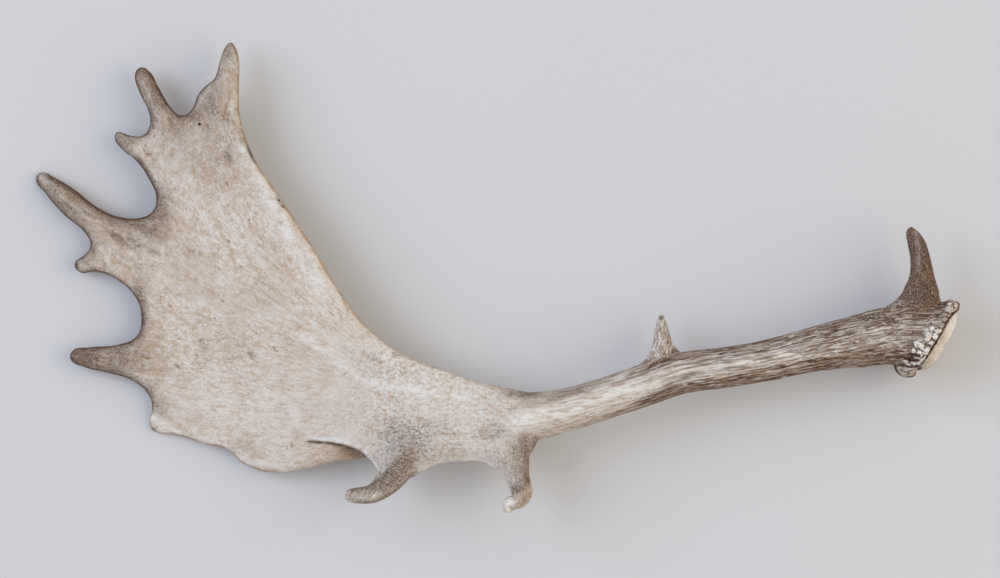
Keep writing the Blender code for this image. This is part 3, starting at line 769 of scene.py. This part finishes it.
def straighten(route, points):
    """A stem straightened out: each point's way along it, its place across it, and how many radii off."""
    route = np.array(route, dtype=float)
    steps = np.linspace(0, len(route) - 1, 9 * len(route))
    line = np.column_stack([np.interp(steps, range(len(route)), route[:, k]) for k in range(4)])
    line, girth = line[:, :3], line[:, 3]
    station = np.concatenate([[0], np.cumsum(np.linalg.norm(np.diff(line, axis=0), axis=1))])
    flow = np.zeros((len(points), 3))
    nearest = np.full(len(points), np.inf)
    for start, end, base, radius in zip(line[:-1], line[1:], station[:-1], girth[:-1]):
        run = end - start
        length = np.linalg.norm(run)
        way = run / length
        reach = np.clip((points - start) @ way, 0, length)
        off = points - (start + reach[:, None] * way)
        gap = np.linalg.norm(off, axis=1) / radius
        closer = gap < nearest
        side = np.cross((0, 0, 1), way)
        side /= np.linalg.norm(side)
        lift = np.cross(way, side)
        nearest[closer] = gap[closer]
        flow[closer] = np.column_stack([base + reach, off @ side, off @ lift])[closer]
    return flow, nearest


def along_tines(points):
    """The same for whichever side tine is nearest, with that tine's brown tone."""
    flow, nearest = straighten(BROW_TINE, points)
    tone = np.full(len(points), TINE_TONES[0])
    for route, own_tone in zip((TREZ_TINE, CURLED_TINE, HOOKED_TINE), TINE_TONES[1:]):
        other, gap = straighten(route, points)
        closer = gap < nearest
        flow[closer], nearest[closer], tone[closer] = other[closer] + 300, gap[closer], own_tone
    return flow, nearest, tone


def over_palm(points):
    """The palm's fan: distance from its root, place round it, and height."""
    away = points[:, :2] - np.array(FAN_ROOT, dtype=float)
    reach = np.linalg.norm(away, axis=1)
    turn = np.arctan2(away[:, 1], -away[:, 0])
    return np.column_stack([reach, turn * FAN_RADIUS, points[:, 2]])


def in_burr(points):
    """Each point in the burr's own frame, in millimetres."""
    turn = np.array(burr_frame().inverted())
    return points @ turn[:3, :3].T + turn[:3, 3] / MM


def spread_over(mesh, values, rounds):
    """Averages a value over each point's neighbours, again and again."""
    edges = np.empty(len(mesh.edges) * 2, dtype=int)
    mesh.edges.foreach_get("vertices", edges)
    first, second = edges.reshape(-1, 2).T
    count = np.bincount(np.concatenate([first, second]), minlength=len(mesh.vertices))
    for _ in range(rounds):
        total = np.bincount(first, values[second], len(values))
        total += np.bincount(second, values[first], len(values))
        values = 0.5 * values + 0.5 * total / np.maximum(count, 1)
    return values


def normals_of(mesh):
    normals = np.empty(len(mesh.vertices) * 3)
    mesh.vertex_normals.foreach_get("vector", normals)
    return normals.reshape(-1, 3)


def lines(flow, stretch, across, width, seed):
    """Thin lines that run along the bone: 1 on a line and 0 between."""
    warp = 0.6 * noise(flow * (stretch * 2, across * 0.3, across * 0.3), seed + 50)
    value = noise(flow * (stretch, across, across) + warp[:, None], seed)
    return np.exp(-(value / width) ** 2)


def bend_of(points):
    """What the surface follows at each point: the stems' flows, the palm's, and the shares."""
    beam, beam_gap = straighten(BEAM, points)
    tine, tine_gap, tone = along_tines(points)
    palm = over_palm(points)
    return {
        "beam_flow": beam, "tine_flow": tine, "palm_flow": palm,
        "on_beam": ramp(points[:, 0], *PALM_TO_BEAM),
        "on_tine": ramp(beam_gap - tine_gap, -0.1, 0.4) * ramp(-tine_gap, -2.2, -1.3),
        "in_neck": 1 - ramp(palm[:, 0], NECK_NEAR, NECK_FAR),
        "near_burr": ramp(points[:, 0], *BURR_APPROACH), "tone": tone,
    }


def relief(points):
    """How far the bone's surface stands out or in, in millimetres, at each point."""
    way = bend_of(points)
    beam, tine, palm = way["beam_flow"], way["tine_flow"], way["palm_flow"]
    near_burr = way["near_burr"]
    burr = in_burr(points)
    furrows = -(FURROWS[0] + FURROWS[1] * near_burr) * lines(beam, 0.018, 0.27, 0.15, 5)
    furrows -= (FINE_FURROWS[0] + FINE_FURROWS[1] * near_burr) * lines(beam, 0.025, 0.5, 0.2, 9)
    flakes = FLAKES * near_burr * lines(beam, 0.035, 0.22, 0.09, 13)
    flakes = flakes * ramp(noise(points * 0.06, 15), 0, 0.4)
    swell = (SWELL[0] + SWELL[1] * near_burr) * noise(beam * (0.02, 0.14, 0.14), 3)
    tine_relief = -TINE_LINES * lines(tine, 0.03, 0.4, 0.2, 19)
    tine_relief = tine_relief + TINE_SWELL * noise(tine * (0.05, 0.2, 0.2), 23)
    stem_relief = furrows + flakes + swell
    stem_relief = stem_relief + way["on_tine"] * (tine_relief - furrows - flakes - swell)
    lumps = ROOT_LUMPS * layered_noise(points * 0.3, 2, 21) * ramp(burr[:, 2], -16, -8)

    waves = PALM_WAVES * noise(palm * (0.018, 0.05, 0.05), 41)
    vessels = -PALM_VESSELS * lines(palm, 0.010, 0.05, 0.12, 43)
    vessels = vessels * ramp(noise(palm * 0.02, 45), -0.2, 0.3)
    neck_lines = NECK_LINES * lines(points, 0.02, 0.16, 0.15, 49)
    plate = (waves + vessels) * (1 - way["in_neck"]) - neck_lines * way["in_neck"]
    pores = PORES * noise(points * 0.5, 47)
    return plate + way["on_beam"] * (stem_relief + lumps - plate) + pores


def carve(antler):
    """Gives the smooth skin its furrows, knobs and channels, and thins out its triangles."""
    mesh = antler.data
    points = read_points(mesh)
    height = relief(points)
    points += normals_of(mesh) * height[:, None]
    points[:, 2] = np.maximum(points[:, 2], 0)
    write_points(mesh, points)
    flat_part = antler.vertex_groups.new(name="palm")
    flat = np.flatnonzero(points[:, 0] < FLAT_END)
    flat_part.add(flat.tolist(), 1.0, "REPLACE")
    antler.modifiers.new("Triangles", "TRIANGULATE")
    antler = as_mesh(antler)
    fewer = antler.modifiers.new("Fewer", "DECIMATE")
    fewer.ratio = SKIN_TRIANGLES / len(antler.data.polygons)
    fewer.vertex_group = "palm"
    fewer.vertex_group_factor = PALM_THINNING
    antler = as_mesh(antler)
    antler.data.shade_smooth()
    return antler


def give(mesh, **layers):
    """Stores values or vectors at every point, for the material to read."""
    for name, values in layers.items():
        kind, key = ("FLOAT", "value") if values.ndim == 1 else ("FLOAT_VECTOR", "vector")
        layer = mesh.attributes.new(name, kind, "POINT")
        layer.data.foreach_set(key, values.astype(np.float32).ravel())


def spots(points, places):
    """Soft oval marks: place, radius along and across, turn in degrees and strength."""
    total = np.zeros(len(points))
    for x, y, long, short, turn, strength in places:
        angle = math.radians(turn)
        off = points[:, :2] - (x, y)
        u = (off[:, 0] * math.cos(angle) + off[:, 1] * math.sin(angle)) / long
        v = (off[:, 1] * math.cos(angle) - off[:, 0] * math.sin(angle)) / short
        total = np.maximum(total, strength * np.exp(-(u * u + v * v)))
    return total


def strokes(points, marks):
    """Soft lines through places: half width, strength, how much of it is lost on the way, the places."""
    total = np.zeros(len(points))
    for width, strength, loss, route in marks:
        route = np.array(route, dtype=float)
        legs = len(route) - 1
        for leg, (start, end) in enumerate(zip(route[:-1], route[1:])):
            run = end - start
            share = np.clip((points[:, :2] - start) @ run / (run @ run), 0, 1)
            gap = np.linalg.norm(points[:, :2] - start - share[:, None] * run, axis=1)
            left = strength * (1 - loss * (leg + share) / legs)
            total = np.maximum(total, left * np.exp(-(gap / width) ** 2))
    return total


def sunk(mesh, rounds):
    """How far each point lies below its smoothed neighbourhood, in millimetres."""
    points, normals = read_points(mesh), normals_of(mesh)
    smooth = np.column_stack([spread_over(mesh, points[:, k], rounds) for k in range(3)])
    return ((smooth - points) * normals).sum(axis=1)


def mark(antler, rim):
    """Stores what the material needs: flow along the bone, where it is stained, worn or hollow, and where
    shade and highlights are painted on.
    """
    mesh = antler.data
    points = read_points(mesh)
    way = bend_of(points)
    tone = way.pop("tone")
    give(mesh, **way)
    girth = np.interp(points[:, 0], [row[0] for row in BEAM], [row[3] for row in BEAM])
    side = way["beam_flow"][:, 1] / girth
    over = ramp(side, *OVER_SIDE)
    under = ramp(-side, *UNDER_SIDE)
    middle = ramp(points[:, 0], *BROWN_BEAM)

    # Brownness: along the beam's middle, towards its two sides as seen from above, and on the tines
    brown = 0.02 + 0.42 * middle + (0.35 + 0.1 * middle) * over + (0.25 + 0.45 * middle) * under
    brown += way["on_tine"] * (tone + 0.25 * under + 0.25 * over - brown)
    grey = np.clip(over + 0.7 * way["near_burr"] * (1 - under), 0, 1)
    grey += way["on_tine"] * (0.2 - grey)

    # Stained rim of the palm, and the distance from its edge that places the painted rim shade, but none
    # where the lobe or a side tine grows out of it
    join = spots(points, LOBE_JOIN)
    inset = inset_from(rim, points) + OFF_RIM * join + OFF_RIM * way["on_tine"]
    on_palm = 1 - ramp(points[:, 0], *PALM_END)
    tined = ramp(-points[:, 0], *TINED_X) * ramp(points[:, 1], *TINED_Y)
    edge_stain = np.exp(-inset / RIM_STAIN_WIDTH) * on_palm * (RIM_STAIN + TINED_RIM_STAIN * tined)
    broad = spots(points, BROAD_STAINS)
    marks = np.maximum(spots(points, STAIN_AND_SHADE_SPOTS), strokes(points, STAIN_AND_SHADOW_LINES))
    give(
        mesh, brown=np.clip(brown, 0, 1), grey=grey, inset=inset,
        brow=way["on_tine"] * (tone == TINE_TONES[0]),
        crease=(sunk(mesh, 4) - sunk(mesh, 16) / 4) * (1 - join), hollow=sunk(mesh, 40),
        stain=marks + edge_stain + broad * (1 - np.clip(marks, 0, 1)),
        worn=strokes(points, WORN_AND_HIGHLIGHT_LINES), ochre=spots(points, OCHRE_AND_PAINTED_LIGHT_SPOTS),
    )


def dress_burr(burr):
    """Roughens the burr piece and stores where its crevices, seal, drawn lines and ends are."""
    mesh = burr.data
    points = read_points(mesh)
    place = in_burr(points)
    ring = np.hypot(place[:, 0], place[:, 1])
    seal = ramp(place[:, 2], *SEAL_LEVEL) * ramp(-ring, *SEAL_RADIUS) * ramp(place[:, 1], *SEAL_FRONT)
    fine, broad = BURR_ROUGHNESS
    rough = fine * layered_noise(points * 0.6, 2, 61) + broad * noise(points * 0.25, 65)
    fine, broad = SEAL_ROUGHNESS
    seal_rough = fine * layered_noise(points * 0.42, 2, 71) + broad * noise(points * 0.12, 75)
    height = (1 - seal) * rough + seal * seal_rough
    points += normals_of(mesh) * height[:, None]
    points[:, 2] = np.maximum(points[:, 2], 0)
    write_points(mesh, points)
    on_top = ramp(place[:, 0], -1, 7)
    faded = 0.75 * ramp(ring, 28, 29.5) * (1 - on_top)
    ahead = -place[:, 1]
    give(
        mesh, crease=sunk(mesh, 6), seal=seal, edge=ramp(ring, 17, 26) * seal,
        lines=strokes(place[:, 1:], BURR_LINES) * (1 - faded), rear=ramp(-ahead, 16, 26),
        front=ramp(ahead, 4, 9) * (1 - 0.5 * ramp(ahead, 18, 22)), upper=ramp(ahead, 2, 14),
    )
    mesh.shade_smooth()


# Material

class Graph:
    """Adds shader nodes and joins them up."""

    def __init__(self, name):
        self.material = bpy.data.materials.new(name)
        self.material.use_nodes = True
        self.tree = self.material.node_tree
        self.shader = self.tree.nodes["Principled BSDF"]

    def node(self, kind, **settings):
        made = self.tree.nodes.new(kind)
        for key, value in settings.items():
            setattr(made, key, value)
        return made

    def feed(self, socket, value):
        if hasattr(value, "is_linked"):
            self.tree.links.new(value, socket)
        else:
            socket.default_value = value

    def stored(self, *names, output="Fac"):
        """What the mesh stores under these names."""
        return [self.node("ShaderNodeAttribute", attribute_name=name).outputs[output] for name in names]

    def maths(self, operation, first, second):
        made = self.node("ShaderNodeMath", operation=operation)
        self.feed(made.inputs[0], first)
        self.feed(made.inputs[1], second)
        return made.outputs[0]

    def times(self, first, second):
        return self.maths("MULTIPLY", first, second)

    def add(self, first, second):
        return self.maths("ADD", first, second)

    def least(self, first, second):
        return self.maths("MINIMUM", first, second)

    def hairline(self, value, width):
        """Thin lines: 1 where the value passes one half, and 0 beyond the width."""
        off = self.maths("ABSOLUTE", self.add(value, -0.5), 0.0)
        return self.span(off, width * 0.3, width, 1.0, 0.0)

    def dot(self, place, spot, radius):
        """A round mark seen from above: 1 inside and 0 beyond its radius."""
        made = self.node("ShaderNodeVectorMath", operation="DISTANCE")
        self.feed(made.inputs[0], self.stretch(place, (1, 1, 0)))
        self.feed(made.inputs[1], (*spot, 0))
        return self.span(made.outputs["Value"], radius * 0.5, radius, 1.0, 0.0)

    def less_one(self, value):
        return self.maths("SUBTRACT", 1.0, value)

    def blend(self, share, first, second):
        made = self.node("ShaderNodeMix", data_type="FLOAT")
        self.feed(made.inputs["Factor"], share)
        self.feed(made.inputs["A"], first)
        self.feed(made.inputs["B"], second)
        return made.outputs["Result"]

    def bump(self, height, strength, distance):
        made = self.node("ShaderNodeBump")
        made.inputs["Strength"].default_value = strength
        made.inputs["Distance"].default_value = distance
        self.feed(made.inputs["Height"], height)
        self.feed(self.shader.inputs["Normal"], made.outputs["Normal"])

    def stretch(self, vector, scale):
        made = self.node("ShaderNodeVectorMath", operation="MULTIPLY")
        self.feed(made.inputs[0], vector)
        self.feed(made.inputs[1], scale)
        return made.outputs[0]

    def noise(self, vector, scale, detail=2.0, roughness=0.5, distortion=0.0):
        made = self.node("ShaderNodeTexNoise")
        self.feed(made.inputs["Vector"], vector)
        self.feed(made.inputs["Scale"], scale)
        self.feed(made.inputs["Detail"], detail)
        self.feed(made.inputs["Roughness"], roughness)
        self.feed(made.inputs["Distortion"], distortion)
        return made.outputs["Fac"]

    def drawn(self, flow, along, *settings):
        """Noise drawn out along the bone."""
        return self.noise(self.stretch(flow, (along, 1, 1)), *settings)

    def millimetres(self):
        return self.stretch(self.node("ShaderNodeTexCoord").outputs["Object"], (1 / MM, 1 / MM, 1 / MM))

    def span(self, value, low, high, start=0.0, end=1.0):
        """Maps low to high onto start to end, and holds it there."""
        made = self.node("ShaderNodeMapRange", interpolation_type="SMOOTHSTEP")
        self.feed(made.inputs["Value"], value)
        for socket, number in zip(("From Min", "From Max", "To Min", "To Max"), (low, high, start, end)):
            self.feed(made.inputs[socket], number)
        return made.outputs["Result"]

    def mix(self, share, first, second):
        made = self.node("ShaderNodeMix", data_type="RGBA")
        self.feed(made.inputs["Factor"], share)
        self.feed(made.inputs["A"], first)
        self.feed(made.inputs["B"], second)
        return made.outputs["Result"]

    def layers(self, colour, *coats):
        """Lays coats over a first colour. A coat is a colour and its share, or a colour, a value, the
        value's span and its share's, and what the share is multiplied by."""
        for coat, share, *rest in coats:
            if rest:
                share = self.span(share, *rest[:4])
            for factor in rest[4:]:
                share = self.times(share, factor)
            colour = self.mix(share, colour, coat)
        return colour

    def surface(self, colour, roughness, specular=0.5):
        self.feed(self.shader.inputs["Base Color"], colour)
        self.feed(self.shader.inputs["Roughness"], roughness)
        self.feed(self.shader.inputs["Specular IOR Level"], specular)


def antler_bone():
    g = Graph("antler_bone")
    place = g.millimetres()
    beam, tine, palm = g.stored("beam_flow", "tine_flow", "palm_flow", output="Vector")
    on_beam, on_tine, in_neck, near_burr = g.stored("on_beam", "on_tine", "in_neck", "near_burr")
    brown, grey, brow, inset = g.stored("brown", "grey", "brow", "inset")
    stain, ochre, worn, crease, hollow = g.stored("stain", "ochre", "worn", "crease", "hollow")

    # Fine speckles, mottling and clouds, then streaks that follow the bone
    speck = g.noise(place, 1.25, 2, 0.7)
    fleck = g.noise(place, 0.7, 2, 0.6)
    cloud = g.noise(place, 0.035, 3, 0.6)
    grain = g.blend(in_neck, g.drawn(palm, 0.4, 0.55, 5, 0.85), g.drawn(place, 0.6, 0.55, 3, 0.75))
    mottle = g.blend(in_neck, g.drawn(palm, 0.4, 0.26, 3, 0.65), g.drawn(place, 0.6, 0.28, 3, 0.65))
    fan = g.blend(in_neck, g.drawn(palm, 0.07, 0.4, 3, 0.6), g.drawn(place, 0.7, 0.5, 3, 0.6))
    long_fleck = g.blend(on_tine, g.drawn(beam, 0.13, 0.85, 2, 0.6), g.drawn(tine, 0.4, 0.85, 2, 0.6))
    streak = g.blend(on_tine, g.drawn(beam, 0.06, 0.62, 3, 0.6, 0.4),
                     g.drawn(tine, 0.12, 0.8, 3, 0.6, 0.4))
    thread = g.blend(on_tine, g.drawn(beam, 0.04, 0.42, 2, 0.6, 0.6),
                     g.drawn(tine, 0.1, 0.55, 2, 0.6, 0.6))
    band = g.blend(on_tine, g.drawn(beam, 0.1, 0.2, 3, 0.6), g.drawn(tine, 0.2, 0.2, 3, 0.6))

    # Palm
    rough = g.times(g.span(g.noise(place, 0.022, 2, 0.5), 0.4, 0.58, 0.6, 1.1),
                    g.span(worn, 0.1, 0.9, 1, 0.5))
    palm_colour = g.layers(
        PALE_CREAM,
        (CREAM, mottle, 0.34, 0.74, 0.35, 0.9),
        (TAN, cloud, 0.44, 0.62, 0, 0.34),
        (PALE_CREAM, fan, 0.52, 0.68, 0, 0.5),
        (TAN, fan, 0.46, 0.32, 0, 0.36),
        (TAN, speck, 0.44, 0.68, 0, 1, g.span(cloud, 0.35, 0.62, 0.45, 0.85), rough),
        (OCHRE, grain, 0.5, 0.69, 0, 0.85, rough),
        (WHITE_BONE, grain, 0.52, 0.34, 0, 0.55, rough),
        (OCHRE, mottle, 0.42, 0.62, 0.1, 0.6, g.hairline(g.drawn(palm, 0.6, 0.3, 2, 0.6, 1.5), 0.035)),
        (NECK_GREY, g.add(speck, grain), 1.12, 0.88, 0.1, 0.55, in_neck),
        (RUST, fleck, 0.6, 0.7, 0, 1, g.span(mottle, 0.48, 0.62), 0.6),
        (UMBER, g.drawn(palm, 0.45, 0.3, 1, 0.5), 0.7, 0.77, 0, 0.65),
    )

    # Beam
    dark_side = g.mix(brow, g.mix(grey, UMBER, GREY_BROWN), BROW_BROWN)
    crest = g.mix(brow, g.mix(g.span(brown, 0.3, 1), PALE_CREAM, GREY_TAN), TAN)
    pale_fleck = g.mix(brow, PALE_CREAM, OCHRE)
    beam_colour = g.layers(
        CREAM,
        (dark_side, g.times(brown, g.span(band, 0.32, 0.62, 0.55, 1.15)), 0.1, 0.95, 0, 1),
        (RUST, mottle, 0.46, 0.62, 0, 0.45),
        (crest, streak, 0.475, 0.41, 0, 0.85, g.span(brown, 0, 0.5, 0.6, 1)),
        (LINE_BROWN, streak, 0.525, 0.575, 0, 1, g.span(brown, 0.1, 0.7, 0.15, 0.9)),
        (LINE_BROWN, brown, 0.15, 0.65, 0.05, 1, g.hairline(thread, 0.055)),
        (RUST, grain, 0.54, 0.64, 0, 0.7),
        (pale_fleck, long_fleck, 0.47, 0.33, 0, 0.6, g.span(near_burr, 0.3, 1, 1, 0.55)),
        (LINE_BROWN, long_fleck, 0.52, 0.59, 0, 0.95, brow),
        (TAN, speck, 0.47, 0.38, 0, 0.45, brow),
        (LINE_BROWN, speck, 0.54, 0.61, 0, 0.9, brow),
    )

    # Ochre shades with painted warm light and shade, stains that break up into specks with painted shade
    # in the slit, grit on the two hooks, worn pale places with painted highlights, painted shade and warm
    # bounce light along the palm's edge, the pin-holes, then dirt with painted shade in the hollows, and
    # bare crests
    # Stains, with the painted shade in the slit and on the lobe under its rim, broken up into specks
    ragged = g.times(stain, g.span(g.add(fan, grain), 0.8, 1.25, 0.75, 1.25))
    on_hook = g.times(on_tine, g.less_one(on_beam))
    worn_share = g.times(worn, g.span(g.add(streak, g.add(mottle, fan)), 1.2, 1.75, 1.25, 0.25))
    # Painted shade and warm bounce light along the palm's rounded edge, brown where it is stained
    rim_shade_line = g.times(g.span(inset, 0.4, 2, 0.9, 0), g.less_one(on_beam))
    rim_shade_line = g.times(rim_shade_line, g.span(in_neck, 0, 1, 1, 0.5))
    rim_shade_colour = g.mix(g.span(stain, 0.15, 0.8), RIM_ORANGE, LINE_BROWN)
    # Dirt with painted shade, darker in creases and hollows
    dirt_and_shade = g.mix(on_beam, CREASE_BROWN, DARK_UMBER)
    on_stem = g.times(on_beam, g.less_one(on_tine))
    colour = g.layers(
        g.mix(on_beam, palm_colour, beam_colour),
        (OCHRE, mottle, 0.3, 0.6, 0.45, 0.85, ochre),
        (g.mix(brow, STAIN_AND_SHADE_BROWN, DARK_UMBER), ragged, 0, 1, 0, 0.9),
        (STAIN_FLECK, fleck, 0.5, 0.62, 0, 0.75, g.span(ragged, 0.1, 1)),
        (PALE_CREAM, speck, 0.46, 0.34, 0, 0.4, g.span(ragged, 0.1, 0.7)),
        (LINE_BROWN, ragged, 0.85, 1.6, 0, 0.6),
        (STAIN_FLECK, fleck, 0.54, 0.64, 0, 0.5, on_hook),
        (NECK_GREY, speck, 0.48, 0.36, 0, 0.3, on_hook),
        # Worn pale bone, with painted highlights
        (WHITE_BONE, g.least(worn_share, 0.95)),
        (rim_shade_colour, mottle, 0.3, 0.6, 0.4, 1, rim_shade_line),
        *((DEEP_BROWN, g.dot(place, spot, radius)) for spot, radius in PIN_HOLES),
        # Dirt and painted shade in creases, and below in broad hollows
        (dirt_and_shade, crease, 0.02, 0.2, 0, 0.85),
        (WHITE_BONE, crease, -0.05, -0.2, 0, 0.4, on_stem, g.span(near_burr, 0.3, 1, 1, 0.6)),
        (dirt_and_shade, hollow, 0.6, 2.6, 0, 0.7),
    )
    g.surface(colour, g.span(speck, 0.3, 0.7, 0.62, 0.85), 0.22)

    # Pores and fine grain
    palm_grain = g.noise(place, 1, 3, 0.6)
    beam_grain = g.drawn(beam, 0.08, 1.2, 3, 0.65)
    g.bump(g.blend(on_beam, palm_grain, g.blend(on_tine, beam_grain, streak)), 0.3, 0.0006)
    return g.material


def burr_bone():
    g = Graph("burr_bone")
    place = g.millimetres()
    crease, seal, edge, marks = g.stored("crease", "seal", "edge", "lines")
    front, rear, upper = g.stored("front", "rear", "upper")
    speck = g.noise(place, 0.9, 3, 0.65)
    blotch = g.noise(place, 0.16, 3, 0.6)
    seal_colour = g.layers(
        SEAL_CREAM,
        (SEAL_TAN, blotch, 0.42, 0.62, 0, 0.8),
        (WHITE_BONE, g.times(upper, 0.8)),
        (TAN, speck, 0.55, 0.7, 0, 0.4),
        (TAN, speck, 0.4, 0.62, 0, 0.7, edge),
        # Painted shade in the seal's creases
        (UMBER, crease, 0.05, 0.25, 0, 0.6),
    )
    vein = g.hairline(g.noise(place, 0.2, 2, 0.5, 1.2), 0.07)
    line_share = g.times(marks, g.span(blotch, 0.35, 0.6, 0.7, 1.15))
    colour = g.layers(
        CREAM,
        (GREY_TAN, blotch, 0.42, 0.6, 0, 1),
        (UMBER, speck, 0.5, 0.65, 0, 0.7),
        (UMBER, g.times(front, 0.8)),
        (TAN, g.times(rear, 0.25)),
        # Pale crests of the pearls: worn bone and painted highlight
        (PEARL_CREAM, crease, 0, -0.1, 0, 1, g.span(front, 0, 1, 1, 0.3), g.span(rear, 0, 1, 1, 0.8)),
        # Painted shade in the crevices between the pearls
        (DARK_UMBER, crease, 0, 0.05, 0, 0.95),
        (seal_colour, seal),
        (DARK_UMBER, g.times(vein, g.times(rear, 0.6))),
        (LINE_BROWN, line_share, 0.3, 0.9, 0, 1),
    )
    g.surface(colour, g.span(speck, 0.3, 0.7, 0.55, 0.8), 0.3)
    g.bump(g.noise(place, 1.3, 3, 0.6), 0.35, 0.0005)
    return g.material


# Floor, light and camera

def floor():
    bpy.ops.mesh.primitive_plane_add(size=FLOOR_SIZE)
    ground = bpy.context.object
    ground.name = "floor"
    g = Graph("floor_paint")
    g.surface(FLOOR_PAINT, 0.9)
    ground.data.materials.append(g.material)


def aim(thing, target):
    way = Vector(target) - thing.location
    thing.rotation_euler = way.to_track_quat("-Z", "Y").to_euler()


def area_light(name, place, size, power, colour):
    data = bpy.data.lights.new(name, "AREA")
    data.size = size
    data.energy = power
    data.color = colour
    lamp = new_object(name, data)
    lamp.location = place
    aim(lamp, (0, 0, 0))


def studio():
    bpy.context.scene.view_settings.view_transform = "Standard"
    world = bpy.data.worlds.new("sky")
    bpy.context.scene.world = world
    world.use_nodes = True
    sky = world.node_tree.nodes["Background"]
    sky.inputs["Color"].default_value = SKY
    sky.inputs["Strength"].default_value = SKY_STRENGTH
    area_light("window", *WINDOW)
    area_light("lamp", *LAMP)

    data = bpy.data.cameras.new("camera")
    data.lens = CAMERA_LENS
    data.sensor_width = SENSOR_WIDTH
    camera = new_object("camera", data)
    x, y, z = FRAME_CENTRE
    camera.location = (x * MM, y * MM, (z + FRAME_WIDTH * CAMERA_LENS / SENSOR_WIDTH) * MM)
    bpy.context.scene.camera = camera


def lobe_form(form):
    """The lobe's own form: the main blade's, let down behind the slit."""
    heights = form([row[:2] for row in LOBE_DROP])[:, 0]
    rows = zip(LOBE_DROP, heights)
    return smooth_form([(x, y, height - drop, half) for (x, y, drop, half), height in rows])


def grow():
    """Grows the whole antler and returns it, with a search tree of the palm's edge."""
    form = smooth_form(BLADE_FORM)
    edge = (FRONT_EDGE + TOP_TINE_EDGE + SECOND_TINE_EDGE + THIRD_TINE_EDGE + LONG_TINE_EDGE
            + SPUR_EDGE + REAR_TINE_EDGE + CORNER_EDGE + SLIT_EDGE + HOOK_BAY_EDGE)
    pieces = [blade("palm_blade", edge, form), blade("lobe_blade", LOBE_EDGE, lobe_form(form))]
    for name, route in SURFACE_STEMS.items():
        pieces.append(surface_stem(f"{name}_stem", route, form))
    for name, route in TREE.items():
        pieces.append(stem(f"{name}_stem", route))
    pieces.append(burr_disc(UNDER_SEAL, UNDER_FLARE))
    for number, (angle, length, radius) in enumerate(RIDGES):
        pieces.append(ridge(f"ridge_{number}", angle, length, radius))
    flat = outline_slab("rim", edge)
    rim = rim_tree(flat)
    bpy.data.objects.remove(flat, do_unlink=True)
    return carve(fuse("antler", pieces, VOXEL, SMOOTHING)), rim


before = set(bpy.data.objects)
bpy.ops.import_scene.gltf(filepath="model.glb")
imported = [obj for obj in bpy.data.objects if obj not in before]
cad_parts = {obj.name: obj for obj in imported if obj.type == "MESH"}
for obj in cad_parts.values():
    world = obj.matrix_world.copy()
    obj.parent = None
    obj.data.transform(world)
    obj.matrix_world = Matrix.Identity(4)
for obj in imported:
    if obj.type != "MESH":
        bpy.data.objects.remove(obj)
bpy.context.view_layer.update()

antler, palm_rim = grow()
mark(antler, palm_rim)
antler.data.materials.append(antler_bone())
antler.name = "antler"
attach(antler, "root")
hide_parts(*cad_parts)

burr = fuse("burr", [burr_disc(0, BURR_SUNK), burr_pearls()], BURR_VOXEL, BURR_SMOOTHING)
drop_specks(burr)
dress_burr(burr)
burr.data.materials.append(burr_bone())
burr.name = "burr"
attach(burr, "root")

floor()
studio()
